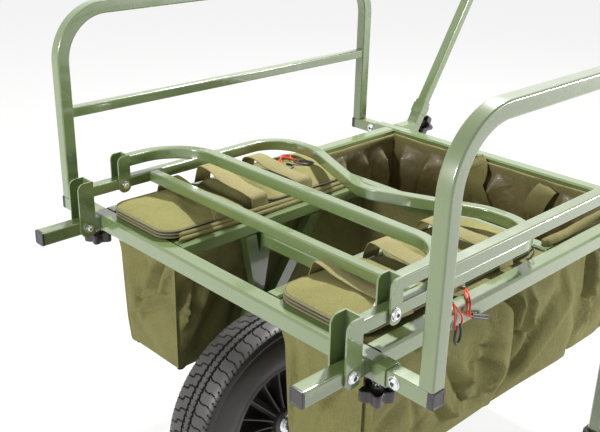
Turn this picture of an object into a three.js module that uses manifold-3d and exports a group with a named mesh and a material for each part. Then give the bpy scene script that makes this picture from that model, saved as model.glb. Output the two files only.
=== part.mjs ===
import * as THREE from 'three';
import { mergeVertices } from 'three/addons/utils/BufferGeometryUtils.js';
import Module from 'manifold-3d';

const wasm = await Module();
wasm.setup();

// Fishing trolley with one wheel, a folding front rack, two sliding side bars and canvas bags.
// Millimetres. +X is forward, towards the wheel, +Y is the left side and +Z is up.
// While it is modelled, x is 0 at the front rail's front face and z is 0 on the ground.

// Driving dimensions of the frame
const deckHeight = 515;
const frameLength = 827;
const rail = 30;
const railWall = 2;
const sideRailSpan = 636;
const railEndReach = 31;
const innerRail = 25;
const bayWidth = 208;
const midRailPlace = 478;
const gap = 0.3;
const slideFit = 0.5;
const overrun = 5;
const cornerShare = 0.12;

// Driving dimensions of the front rack
const stub = 25;
const stubLength = 114;
const rackTube = 20;
const plateThick = 3;
const gatePivotX = 27;
const gateBracketHeight = 101;
const gateBracketDepth = 30;
const bracketRoundShare = 0.42;
const gateTubeRise = 61;
const gateLength = 449;
const gateBend = 75;
const gateDip = 88;
const gateDipHalf = 205;
const gateDipBend = 70;
const gateCrossbarPlace = 120;
const platformPivotX = 54;
const platformBracketHeight = 68;
const platformBracketDepth = 24;
const platformTubeRise = 39;
const platformLength = 197;
const platformBend = 100;
const boltRadius = 4;
const boltClear = 0.4;
const boltHeadRadius = 8.5;
const boltHeadHeight = 5;
const boltSeatShare = 0.25;
const nutAcross = 13;
const nutHeight = 6.5;

// Driving dimensions of the side bars
const sideTube = 20;
const baseTube = 25;
const sideBarPlane = 427;
const sideBarHeight = 350;
const sideBarBend = 92;
const sideMidTube = 16;
const sideMidHeight = 164;
const baseInsert = 230;
const capThick = 4;

// Driving dimensions of the wheel and its fork
const tyreRadius = 195;
const tyreWidth = 94;
const rimRadius = 108;
const rimWidth = 72;
const rimLip = 3;
const hubRadius = 27;
const hubHalf = 46;
const axleX = 134;
const axleRadius = 8;
const bearingRadius = 18;
const bearingWidth = 12;
const rimWellDepth = 14;
const spokeCount = 16;
const spokeThick = 5;
const treadBlocks = 22;
const treadDepth = 7;
const forkBar = 26;
const forkBarPlace = 216;
const forkNeckPlace = 201;
const forkNeckDrop = 132;
const forkFrontPlace = 178;
const forkRearPlace = 222;
const stayPlace = 352;
const forkLegWidth = 24;
const forkLegThick = 18;
const dropoutRadius = 20;

// Driving dimensions of the handles, legs and knobs
const handleAngle = THREE.MathUtils.degToRad(58);
const handleTube = 22;
const sleeveTube = 28;
const sleeveLength = 96;
const sleeveSetback = 66;
const collarLengthShare = 0.24;
const collarDropShare = 0.1;
const handleLength = 520;
const handleInsert = 88;
const gripLength = 120;
const gripSize = 33;
const gripCornerShare = 0.36;
const gripDrop = THREE.MathUtils.degToRad(40);
const handleBend = 60;
const legTube = 25;
const legSocketLength = 150;
const legSetback = 66;
const legSocketKnobShare = 0.3;
const legHeadroom = 10;
const footHeight = 18;
const footWidth = 42;
const knobRadius = 29;
const knobLobes = 5;
const knobThick = 15;
const knobBevelShare = 0.2;
const knobLobeShare = 0.3;
const knobBossRadius = 11;
const knobBossHeight = 9;

// Driving dimensions of the bags
const closedBagDepth = 246;
const rearBagDepth = 228;
const bagClear = 3;
const bagCorner = 22;
const bagWall = 3;
const lidThick = 24;
const lidCorner = 34;
const lidBevelShare = 0.3;
const frontBagLength = 308;
const frontLidLength = 173;
const midLidLength = 228;

// Places worked out from the driving dimensions
const deck = deckHeight;
const railUnder = deck - rail;
const railCentre = deck - rail / 2;
const sideRailHalf = sideRailSpan / 2;
const sideRailInner = sideRailHalf - rail / 2;
const sideRailOuter = sideRailHalf + rail / 2;
const crossRailHalf = sideRailOuter + railEndReach;
const rearRailFront = -(frameLength - rail);
const rearRailCentre = rearRailFront - rail / 2;
const bayHalf = bayWidth / 2;
const innerRailOuter = bayHalf + innerRail;
const axleZ = tyreRadius;
const boltHole = boltRadius + boltClear;
const sides = [['left', 1], ['right', -1]];

// Materials
const paint = new THREE.MeshStandardMaterial({ color: 0x7f8f58, roughness: 0.3, metalness: 0.25 });
const zinc = new THREE.MeshStandardMaterial({ color: 0xc8cacb, roughness: 0.25, metalness: 1 });
const blackPlastic = new THREE.MeshStandardMaterial({ color: 0x17171a, roughness: 0.5, metalness: 0 });
const tyreRubber = new THREE.MeshStandardMaterial({ color: 0x222223, roughness: 0.75, metalness: 0 });
const gripRubber = new THREE.MeshStandardMaterial({ color: 0x1b1b1c, roughness: 0.85, metalness: 0 });
const canvas = new THREE.MeshStandardMaterial({ color: 0x6f6a48, roughness: 0.9, metalness: 0 });
const lidCloth = new THREE.MeshStandardMaterial({ color: 0x8e885a, roughness: 0.9, metalness: 0 });
const bearingSteel = new THREE.MeshStandardMaterial({ color: 0xa9adb0, roughness: 0.3, metalness: 1 });

const assembly = new THREE.Group();

function addPart(name, geometry, material, position = [0, 0, 0], rotation = [0, 0, 0]) {
  const mesh = new THREE.Mesh(geometry, material);
  mesh.name = name;
  mesh.position.set(...position);
  mesh.rotation.set(...rotation);
  assembly.add(mesh);
  return mesh;
}

// Solid joins and cuts
function toSolid(geometry) {
  const bare = geometry.clone();
  bare.deleteAttribute('normal');
  bare.deleteAttribute('uv');
  const merged = mergeVertices(bare);
  return new wasm.Manifold(new wasm.Mesh({
    numProp: 3,
    vertProperties: new Float32Array(merged.attributes.position.array),
    triVerts: new Uint32Array(merged.index.array),
  }));
}

function toGeometry(solid) {
  const mesh = solid.getMesh();
  const geometry = new THREE.BufferGeometry();
  geometry.setAttribute('position', new THREE.BufferAttribute(new Float32Array(mesh.vertProperties), 3));
  geometry.setIndex(new THREE.BufferAttribute(new Uint32Array(mesh.triVerts), 1));
  geometry.computeVertexNormals();
  return geometry;
}

function fuse(...geometries) {
  return toGeometry(geometries.map(toSolid).reduce((whole, next) => whole.add(next)));
}

function cut(geometry, ...tools) {
  return toGeometry(tools.map(toSolid).reduce((whole, next) => whole.subtract(next), toSolid(geometry)));
}

// Blocks, rods and square tubes
function block(xs, ys, zs) {
  const [x0, x1] = [Math.min(...xs), Math.max(...xs)];
  const [y0, y1] = [Math.min(...ys), Math.max(...ys)];
  const [z0, z1] = [Math.min(...zs), Math.max(...zs)];
  const geometry = new THREE.BoxGeometry(x1 - x0, y1 - y0, z1 - z0);
  return geometry.translate((x0 + x1) / 2, (y0 + y1) / 2, (z0 + z1) / 2);
}

function roundedRectangle(width, height, radius) {
  const [w, h] = [width / 2, height / 2];
  const shape = new THREE.Shape();
  shape.moveTo(w, -h + radius);
  shape.absarc(w - radius, h - radius, radius, 0, Math.PI / 2);
  shape.absarc(-w + radius, h - radius, radius, Math.PI / 2, Math.PI);
  shape.absarc(-w + radius, -h + radius, radius, Math.PI, Math.PI * 1.5);
  shape.absarc(w - radius, -h + radius, radius, Math.PI * 1.5, Math.PI * 2);
  return shape;
}

function squareHole(size) {
  const h = size / 2;
  const hole = new THREE.Path();
  hole.moveTo(-h, -h);
  hole.lineTo(-h, h);
  hole.lineTo(h, h);
  hole.lineTo(h, -h);
  hole.closePath();
  return hole;
}

// A square tube's section, each rounded corner as one flat
function tubeSection(size, wall) {
  const [h, k] = [size / 2, size / 2 - size * cornerShare];
  const corners = [[h, -k], [h, k], [k, h], [-k, h], [-h, k], [-h, -k], [-k, -h], [k, -h]];
  const section = new THREE.Shape(corners.map(([x, y]) => new THREE.Vector2(x, y)));
  if (wall) section.holes.push(squareHole(size - 2 * wall));
  return section;
}

function extrude(shape, depth, curveSegments = 1) {
  return new THREE.ExtrudeGeometry(shape, { depth, bevelEnabled: false, curveSegments });
}

function tubeAlongX(size, wall, x0, x1, y, z) {
  return extrude(tubeSection(size, wall), Math.abs(x1 - x0)).rotateY(Math.PI / 2)
    .translate(Math.min(x0, x1), y, z);
}

function tubeAlongY(size, wall, y0, y1, x, z) {
  return extrude(tubeSection(size, wall), Math.abs(y1 - y0)).rotateX(-Math.PI / 2)
    .translate(x, Math.min(y0, y1), z);
}

function tubeAlongZ(size, wall, z0, z1, x, y) {
  return extrude(tubeSection(size, wall), Math.abs(z1 - z0)).translate(x, y, Math.min(z0, z1));
}

function rodAlongY(radius, y0, y1, x, z, faces = 16) {
  return new THREE.CylinderGeometry(radius, radius, Math.abs(y1 - y0), faces)
    .translate(x, (y0 + y1) / 2, z);
}

function rodAlongZ(radius, z0, z1, x, y, faces = 10) {
  return new THREE.CylinderGeometry(radius, radius, Math.abs(z1 - z0), faces).rotateX(Math.PI / 2)
    .translate(x, y, (z0 + z1) / 2);
}

// A plate cut to an outline in x and z, standing between two values of y
function plate(outline, y0, y1, curveSegments = 2) {
  return extrude(outline, Math.abs(y1 - y0), curveSegments).rotateX(Math.PI / 2)
    .translate(0, Math.max(y0, y1), 0);
}

// A route of straights joined by round bends, all in the plane that faces along the binormal
class BentRoute extends THREE.Curve {
  constructor(corners, bends, binormal, stepAngle = Math.PI / 10) {
    super();
    this.binormal = binormal.clone().normalize();
    this.stations = [{ point: corners[0], tangent: corners[1].clone().sub(corners[0]).normalize() }];
    for (let i = 1; i < corners.length - 1; i += 1) this.addBend(corners, i, bends[i - 1], stepAngle);
    const last = corners.at(-1);
    this.stations.push({ point: last, tangent: last.clone().sub(corners.at(-2)).normalize() });
  }

  addBend(corners, i, radius, stepAngle) {
    const corner = corners[i];
    const into = corner.clone().sub(corners[i - 1]).normalize();
    const out = corners[i + 1].clone().sub(corner).normalize();
    const turn = into.angleTo(out);
    const setback = radius * Math.tan(turn / 2);
    const start = corner.clone().addScaledVector(into, -setback);
    const side = out.clone().addScaledVector(into, -out.dot(into)).normalize();
    const centre = start.clone().addScaledVector(side, radius);
    const steps = Math.max(2, Math.ceil(turn / stepAngle));
    for (let k = 0; k <= steps; k += 1) {
      const a = (turn * k) / steps;
      const tangent = into.clone().multiplyScalar(Math.cos(a)).addScaledVector(side, Math.sin(a));
      const outward = side.clone().multiplyScalar(-Math.cos(a)).addScaledVector(into, Math.sin(a));
      this.stations.push({ point: centre.clone().addScaledVector(outward, radius), tangent });
    }
  }

  getSpacedPoints() {
    return this.stations.map((station) => station.point.clone());
  }

  computeFrenetFrames() {
    const tangents = this.stations.map((station) => station.tangent.clone());
    const normals = tangents.map((tangent) => this.binormal.clone().cross(tangent).normalize());
    const binormals = tangents.map((tangent, i) => tangent.clone().cross(normals[i]));
    return { tangents, normals, binormals };
  }
}

function bentTube(section, corners, bends, binormal, curveSegments = 1) {
  const route = new BentRoute(corners, bends, binormal);
  const steps = route.stations.length - 1;
  return new THREE.ExtrudeGeometry(section, { steps, extrudePath: route, curveSegments });
}

const point = (x, y, z) => new THREE.Vector3(x, y, z);
const up = point(0, 0, 1);
const leftward = point(0, 1, 0);

// Fasteners
const domeEdgeShare = 0.35;
const domeTopShare = 0.66;

function domeHead(y, direction, x, z) {
  const profile = [
    new THREE.Vector2(0, 0),
    new THREE.Vector2(boltHeadRadius, 0),
    new THREE.Vector2(boltHeadRadius, boltHeadHeight * domeEdgeShare),
    new THREE.Vector2(boltHeadRadius * domeTopShare, boltHeadHeight * (1 - domeEdgeShare / 3)),
    new THREE.Vector2(0, boltHeadHeight),
  ];
  const head = new THREE.LatheGeometry(profile, 10);
  if (direction < 0) head.rotateX(Math.PI);
  return head.translate(x, y, z);
}

function pivotBolt(sign, x, y, z, halfGrip) {
  const outer = y + sign * halfGrip;
  const inner = y - sign * halfGrip;
  const nutEnd = inner - sign * nutHeight;
  const shank = rodAlongY(boltRadius, outer + sign * boltHeadHeight * boltSeatShare, nutEnd, x, z, 8);
  const nut = rodAlongY(nutAcross / Math.sqrt(3), inner, nutEnd, x, z, 6);
  return [shank, domeHead(outer, sign, x, z), nut];
}

// A nut welded under a wall that faces down, round the hole for a clamping stud
function weldNut() {
  return rodAlongZ(nutAcross / Math.sqrt(3), railWall / 2, -nutHeight, 0, 0, 6);
}

function studHole(depth) {
  return rodAlongZ(boltHole, depth, -(nutHeight + overrun), 0, 0, 8);
}

// Main frame: cross rails with open ends, side rails, wheel bay rails and the cross rail between the bags
const knobInsetShare = 0.8;
const knobPlaceY = crossRailHalf - rail * knobInsetShare;
const crossRailPlaces = [['front_rail', -rail / 2], ['rear_rail', rearRailCentre]];

for (const [name, x] of crossRailPlaces) {
  const tube = tubeAlongY(rail, railWall, -crossRailHalf, crossRailHalf, x, railCentre);
  const at = (geometry, sign) => geometry.translate(x, sign * knobPlaceY, railUnder);
  const nuts = sides.map(([, sign]) => at(weldNut(), sign));
  const holes = sides.map(([, sign]) => at(studHole(railWall + slideFit), sign));
  addPart(name, cut(fuse(tube, ...nuts), ...holes), paint);
}

const midRailBack = -(midRailPlace + innerRail);
addPart('mid_rail', tubeAlongY(innerRail, railWall, -(sideRailInner - gap), sideRailInner - gap,
  -(midRailPlace + innerRail / 2), deck - innerRail / 2), paint);

const legX = -(frameLength - legSetback);
const socketBottom = railUnder - legSocketLength;
const socketKnobZ = socketBottom + legSocketLength * legSocketKnobShare;
const legTop = railUnder - legHeadroom;

for (const [side, sign] of sides) {
  const y = sign * sideRailHalf;
  const railTube = tubeAlongX(rail, railWall, -(rail + gap), rearRailFront + gap, y, railCentre);
  const socket = tubeAlongZ(rail, railWall, socketBottom, railUnder + railWall / 2, legX, y);
  const onSocket = (geometry) => geometry.rotateX(sign * Math.PI / 2)
    .translate(legX, sign * sideRailOuter, socketKnobZ);
  const sideRail = fuse(railTube, socket, onSocket(weldNut()));
  addPart(`side_rail_${side}`, cut(sideRail, onSocket(studHole(railWall + slideFit))), paint);
  addPart(`bay_rail_${side}`, tubeAlongX(innerRail, railWall, -(rail + gap), -(midRailPlace - gap),
    sign * (bayHalf + innerRail / 2), deck - innerRail / 2), paint);
}

// Wheel fork: a crossbar under the bay rails, a forked leg and a rear stay on each side
const forkTop = deck - innerRail - gap;
const forkLegInner = bayHalf + gap;
const axleHole = axleRadius + boltClear;

addPart('fork_crossbar', tubeAlongY(forkBar, railWall, -(bayHalf - gap), bayHalf - gap,
  -forkBarPlace, forkTop - forkBar / 2 - gap), paint);

function barOutline(from, to, width, shape = new THREE.Shape()) {
  const along = new THREE.Vector2(to.x - from.x, to.z - from.z).normalize();
  const across = new THREE.Vector2(-along.y, along.x).multiplyScalar(width / 2);
  shape.moveTo(from.x + across.x, from.z + across.y);
  shape.lineTo(to.x + across.x, to.z + across.y);
  shape.lineTo(to.x - across.x, to.z - across.y);
  shape.lineTo(from.x - across.x, from.z - across.y);
  shape.closePath();
  return shape;
}

const axlePoint = point(-axleX, 0, axleZ);
const forkNeck = point(-forkNeckPlace, 0, deck - forkNeckDrop);
const underBayRail = (place) => point(-place, 0, forkTop + forkLegWidth / 2);
const legTopFront = underBayRail(forkFrontPlace);
const legTopRear = underBayRail(forkRearPlace);
const stayTop = underBayRail(stayPlace);

for (const [side, sign] of sides) {
  const [inner, outer] = [sign * forkLegInner, sign * (forkLegInner + forkLegThick)];
  const bar = (from, to) => plate(barOutline(from, to, forkLegWidth), inner, outer);
  const aboveFork = block([stayTop.x - rail * 2, legTopFront.x + rail * 2], [inner - sign * overrun,
    outer + sign * overrun], [forkTop, forkTop + rail * 2]);
  const dropout = rodAlongY(dropoutRadius, inner, outer, axlePoint.x, axlePoint.z, 14);
  const bore = rodAlongY(axleHole, inner - sign * overrun, outer + sign * overrun, axlePoint.x,
    axlePoint.z, 12);
  const fork = fuse(bar(forkNeck, axlePoint), bar(forkNeck, legTopFront), bar(forkNeck, legTopRear),
    bar(axlePoint, stayTop), dropout);
  addPart(`fork_${side}`, cut(fork, aboveFork, bore), paint);
}

// Front rack stubs with their end caps
const stubZ = railCentre;
const stubFront = stubLength - capThick;
const stubGrip = stub / 2 + slideFit + plateThick + gap;
for (const [side, sign] of sides) {
  const y = sign * sideRailHalf;
  const tube = tubeAlongX(stub, railWall, gap, stubFront - gap, y, stubZ);
  addPart(`rack_stub_${side}`, fuse(tube, ...pivotBolt(sign, gatePivotX, y, stubZ, stubGrip)), paint);
  const plug = block([stubFront - stub / 2, stubFront + capThick / 2],
    [y - stub / 2 + railWall + gap, y + stub / 2 - railWall - gap],
    [stubZ - stub / 2 + railWall + gap, stubZ + stub / 2 - railWall - gap]);
  const lid = extrude(tubeSection(stub, 0), capThick).rotateY(Math.PI / 2)
    .translate(stubFront, y, stubZ);
  addPart(`stub_cap_${side}`, fuse(plug, lid), blackPlastic);
}

// Folding brackets: a channel on a pivot bolt, its web standing behind the tube that it folds round
function foldingBracket(sign, y, pivotX, pivotZ, tubeSize, depth, below, above) {
  const halfInside = tubeSize / 2 + slideFit;
  const halfOutside = halfInside + plateThick;
  const webFront = pivotX - tubeSize / 2 - slideFit;
  const back = webFront - plateThick;
  const front = back + depth;
  const [bottom, top] = [pivotZ - below, pivotZ + above];
  const radius = depth * bracketRoundShare;
  const outline = new THREE.Shape();
  outline.moveTo(back, top);
  outline.lineTo(back, bottom + radius);
  outline.absarc(back + radius, bottom + radius, radius, Math.PI, Math.PI * 1.5);
  outline.absarc(front - radius, bottom + radius, radius, Math.PI * 1.5, Math.PI * 2);
  outline.absarc(front - radius, top - radius, radius, 0, Math.PI / 2);
  outline.closePath();
  const cheeks = [-1, 1].map((cheek) => (
    plate(outline, y + cheek * halfInside, y + cheek * halfOutside, 2)
  ));
  const webFoot = pivotZ + tubeSize / 2 + slideFit;
  const webHalf = halfOutside - gap;
  const web = block([back, webFront], [y - webHalf, y + webHalf], [webFoot, top - gap]);
  const eye = rodAlongY(boltHole, y - tubeSize, y + tubeSize, pivotX, pivotZ, 12);
  return { geometry: cut(fuse(...cheeks, web), eye), back };
}

// Gate: the first folding frame, turning on the stubs
const gateTubeZ = stubZ + gateTubeRise;
const gateBracketBelow = gateBracketHeight - gateTubeRise - rackTube - railWall;
const gateTubeFronts = [];
for (const [side, sign] of sides) {
  const y = sign * sideRailHalf;
  const bracket = foldingBracket(sign, y, gatePivotX, stubZ, stub, gateBracketDepth, gateBracketBelow,
    gateBracketHeight - gateBracketBelow);
  addPart(`gate_bracket_${side}`, bracket.geometry, paint);
  gateTubeFronts.push(bracket.back - gap);
}

const gateFront = gateTubeFronts[0];
const gateBack = -(gateLength - rackTube / 2);
const gateDipX = gateBack + gateDip;
const gateCorners = [
  point(gateFront, sideRailHalf, gateTubeZ),
  point(gateBack, sideRailHalf, gateTubeZ),
  point(gateBack, gateDipHalf, gateTubeZ),
  point(gateDipX, 0, gateTubeZ),
  point(gateBack, -gateDipHalf, gateTubeZ),
  point(gateBack, -sideRailHalf, gateTubeZ),
  point(gateFront, -sideRailHalf, gateTubeZ),
];
const gateBends = [gateBend, gateDipBend, gateDipBend, gateDipBend, gateBend];
const gateHoop = bentTube(tubeSection(rackTube, railWall), gateCorners, gateBends, up);
const rackGrip = rackTube / 2 + slideFit + plateThick + gap;
const platformBolts = sides.flatMap(([, sign]) => (
  pivotBolt(sign, -platformPivotX, sign * sideRailHalf, gateTubeZ, rackGrip)
));
addPart('gate_hoop', fuse(gateHoop, ...platformBolts), paint);
const gateCrossHalf = sideRailHalf - rackTube / 2 - gap;
addPart('gate_crossbar', tubeAlongY(rackTube, railWall, -gateCrossHalf, gateCrossHalf,
  -gateCrossbarPlace, gateTubeZ), paint);

// Platform: the second folding frame, turning on the gate
const platformTubeZ = gateTubeZ + platformTubeRise;
const platformBelow = platformBracketHeight - platformTubeRise - rackTube / 2 - plateThick;
const platformTubeFronts = [];
for (const [side, sign] of sides) {
  const y = sign * sideRailHalf;
  const bracket = foldingBracket(sign, y, -platformPivotX, gateTubeZ, rackTube, platformBracketDepth,
    platformBelow, platformBracketHeight - platformBelow);
  addPart(`platform_bracket_${side}`, bracket.geometry, paint);
  platformTubeFronts.push(bracket.back - gap);
}

const platformFront = platformTubeFronts[0];
const platformCorners = [
  point(platformFront, sideRailHalf, platformTubeZ),
  point(-platformLength, sideRailHalf, platformTubeZ),
  point(-platformLength, -sideRailHalf, platformTubeZ),
  point(platformFront, -sideRailHalf, platformTubeZ),
];
addPart('platform_hoop', bentTube(tubeSection(rackTube, railWall), platformCorners,
  [platformBend, platformBend], up), paint);

// Side bars: a hoop with a middle rail, on two base tubes that slide in the cross rails
const baseTop = railCentre + baseTube / 2;
const sideBarTop = deck + sideBarHeight - sideTube / 2;
const sideBarFront = -rail / 2;
const sideBarRear = rearRailCentre;
const baseOuter = sideBarPlane + sideTube / 2;
const stopBoltY = crossRailHalf + boltHeadRadius + gap;

function stopBolt(x, sign) {
  const face = x + baseTube / 2;
  const shank = rodAlongY(boltRadius, -railWall, boltHeadHeight * boltSeatShare, 0, 0, 6);
  return [domeHead(0, 1, 0, 0), shank].map((geometry) => (
    geometry.rotateZ(-Math.PI / 2).translate(face, sign * stopBoltY, railCentre)
  ));
}

for (const [side, sign] of sides) {
  const y = sign * sideBarPlane;
  const corners = [
    point(sideBarFront, y, baseTop + gap),
    point(sideBarFront, y, sideBarTop),
    point(sideBarRear, y, sideBarTop),
    point(sideBarRear, y, baseTop + gap),
  ];
  const hoop = bentTube(tubeSection(sideTube, railWall), corners, [sideBarBend, sideBarBend], leftward);
  const middle = tubeAlongX(sideMidTube, 0, sideBarFront - sideTube / 2 + railWall / 2,
    sideBarRear + sideTube / 2 - railWall / 2, y, deck + sideMidHeight - sideMidTube / 2);
  addPart(`side_bar_${side}`, fuse(hoop, middle), paint);

  const baseInner = sign * (crossRailHalf - baseInsert);
  for (const [name, x] of crossRailPlaces) {
    const end = name.replace('_rail', '');
    const base = tubeAlongY(baseTube, railWall, baseInner, sign * baseOuter, x, railCentre);
    const capHalf = baseTube / 2 - railWall / 2;
    const cap = extrude(tubeSection(baseTube, 0), capThick)
      .rotateX(-Math.PI / 2).translate(x, sign > 0 ? baseOuter : -(baseOuter + capThick), railCentre);
    const plug = block([x - capHalf, x + capHalf], [sign * (baseOuter - baseTube / 2),
      sign * (baseOuter + capThick / 2)], [railCentre - capHalf, railCentre + capHalf]);
    addPart(`side_bar_base_${end}_${side}`, fuse(base, cap, plug, ...stopBolt(x, sign)), paint);
  }
}

// Wheel: a pneumatic tyre with a block tread on a spoked rim
const beadHalf = rimWidth / 2 - rimLip * 2;
const stepsPerBlock = 3;

// Each point of a half section: its height as a share of the sidewall's, its share of the width,
// how many tread depths it lies below that height, and whether the tread's cross grooves cut it
const tyreShares = [
  [0.16, 0.45, 0, false],
  [0.46, 0.5, 0, false],
  [0.76, 0.45, 0, true],
  [0.9, 0.4, 0, true],
  [0.965, 0.19, 0, true],
  [1, 0.16, 1, false],
  [1, 0.13, 1, false],
  [1, 0.1, 0, false],
];
const crossGrooveShare = 0.8;

function tyreGeometry() {
  const height = tyreRadius - rimRadius;
  const half = tyreShares.map(([high, wide, below, grooved]) => ({
    r: rimRadius + height * high - treadDepth * below, y: tyreWidth * wide, grooved,
  }));
  half.unshift({ r: rimRadius + rimLip / 3, y: beadHalf, grooved: false });
  const ring = [...half, ...half.map((spot) => ({ ...spot, y: -spot.y })).reverse()];
  const loop = [...ring, ring[0]].reverse();
  const steps = treadBlocks * stepsPerBlock;
  const geometry = new THREE.LatheGeometry(loop.map(({ r, y }) => new THREE.Vector2(r, y)), steps);
  const positions = geometry.attributes.position;
  const sunk = 1 - (treadDepth * crossGrooveShare) / tyreRadius;
  for (let i = 0; i <= steps; i += 1) {
    loop.forEach(({ y, grooved }, j) => {
      const phase = y > 0 ? 0 : 1;
      if (!grooved || (i + phase) % stepsPerBlock > 0) return;
      const k = i * loop.length + j;
      positions.setX(k, positions.getX(k) * sunk);
      positions.setZ(k, positions.getZ(k) * sunk);
    });
  }
  return geometry;
}

function ringGeometry(outline, segments) {
  const loop = outline.map(([r, y]) => new THREE.Vector2(r, y));
  return new THREE.LatheGeometry([...loop, loop[0]], segments);
}

const spokeRootShare = 0.8;
const spokeTipShare = 0.55;

function rimGeometry() {
  const half = rimWidth / 2;
  const lip = rimLip;
  const well = rimRadius - rimWellDepth;
  const barrel = ringGeometry([
    [rimRadius - lip, -half], [rimRadius + lip, -half], [rimRadius + lip, -half + lip],
    [rimRadius - lip, -half + lip * 2], [well + lip, -half / 2], [well + lip, half / 2],
    [rimRadius - lip, half - lip * 2], [rimRadius + lip, half - lip], [rimRadius + lip, half],
    [rimRadius - lip, half], [rimRadius - lip * 2.4, half - lip * 2], [well, half / 2 + lip],
    [well, -half / 2 - lip], [rimRadius - lip * 2.4, -half + lip * 2],
  ], 24);
  const hub = ringGeometry([
    [bearingRadius + gap, -hubHalf], [hubRadius - lip, -hubHalf], [hubRadius, -hubHalf + lip],
    [hubRadius, hubHalf - lip], [hubRadius - lip, hubHalf], [bearingRadius + gap, hubHalf],
    [bearingRadius + gap, hubHalf - bearingWidth], [axleRadius + lip, hubHalf - bearingWidth],
    [axleRadius + lip, -hubHalf + bearingWidth], [bearingRadius + gap, -hubHalf + bearingWidth],
  ], 16);
  const spokes = [];
  for (let k = 0; k < spokeCount; k += 1) {
    const outline = new THREE.Shape();
    outline.moveTo(hubRadius - lip, -hubHalf * spokeRootShare);
    outline.lineTo(well + lip / 2, -half * spokeTipShare);
    outline.lineTo(well + lip / 2, half * spokeTipShare);
    outline.lineTo(hubRadius - lip, hubHalf * spokeRootShare);
    outline.closePath();
    const spoke = extrude(outline, spokeThick).translate(0, 0, -spokeThick / 2);
    spokes.push(spoke.rotateY((Math.PI * 2 * k) / spokeCount));
  }
  return fuse(barrel, hub, ...spokes);
}

const wheelPlace = [-axleX, 0, axleZ];
addPart('tyre', tyreGeometry(), tyreRubber, wheelPlace);
addPart('rim', rimGeometry(), blackPlastic, wheelPlace);
for (const [side, sign] of sides) {
  const [near, far] = [sign * (hubHalf - bearingWidth + gap), sign * hubHalf].sort((a, b) => a - b);
  addPart(`wheel_bearing_${side}`, ringGeometry([
    [axleRadius + boltClear / 2, near], [bearingRadius, near], [bearingRadius, far],
    [axleRadius + boltClear / 2, far],
  ], 16), bearingSteel, wheelPlace);
}

const axleNutHeight = nutHeight * 1.5;
const axleHalf = forkLegInner + forkLegThick + axleNutHeight + nutHeight;
const axleParts = [rodAlongY(axleRadius, -axleHalf, axleHalf, -axleX, axleZ, 12)];
for (const [, sign] of sides) {
  const nutFrom = sign * (forkLegInner + forkLegThick + gap);
  axleParts.push(
    rodAlongY(axleRadius + plateThick, sign * (hubHalf + slideFit), sign * (forkLegInner - gap),
      -axleX, axleZ, 12),
    rodAlongY(axleRadius * 1.75, nutFrom, nutFrom + sign * axleNutHeight, -axleX, axleZ, 6),
  );
}
addPart('wheel_axle', fuse(...axleParts), zinc);

// Handles: a bracket behind each rear corner holds a sloping sleeve for the handle tube
const sleeveAxis = point(-Math.cos(handleAngle), 0, Math.sin(handleAngle));
const sleeveBack = point(-Math.sin(handleAngle), 0, -Math.cos(handleAngle));
const sleeveMiddle = point(-(frameLength + sleeveSetback), 0, deck + railWall);
const sleeveTilt = -(Math.PI / 2 - handleAngle);
const sleeveFace = sleeveMiddle.clone().addScaledVector(sleeveBack, sleeveTube / 2);

function alongSleeve(geometry, y, along) {
  const place = sleeveMiddle.clone().addScaledVector(sleeveAxis, along);
  return geometry.rotateY(sleeveTilt).translate(place.x, y, place.z);
}

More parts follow.
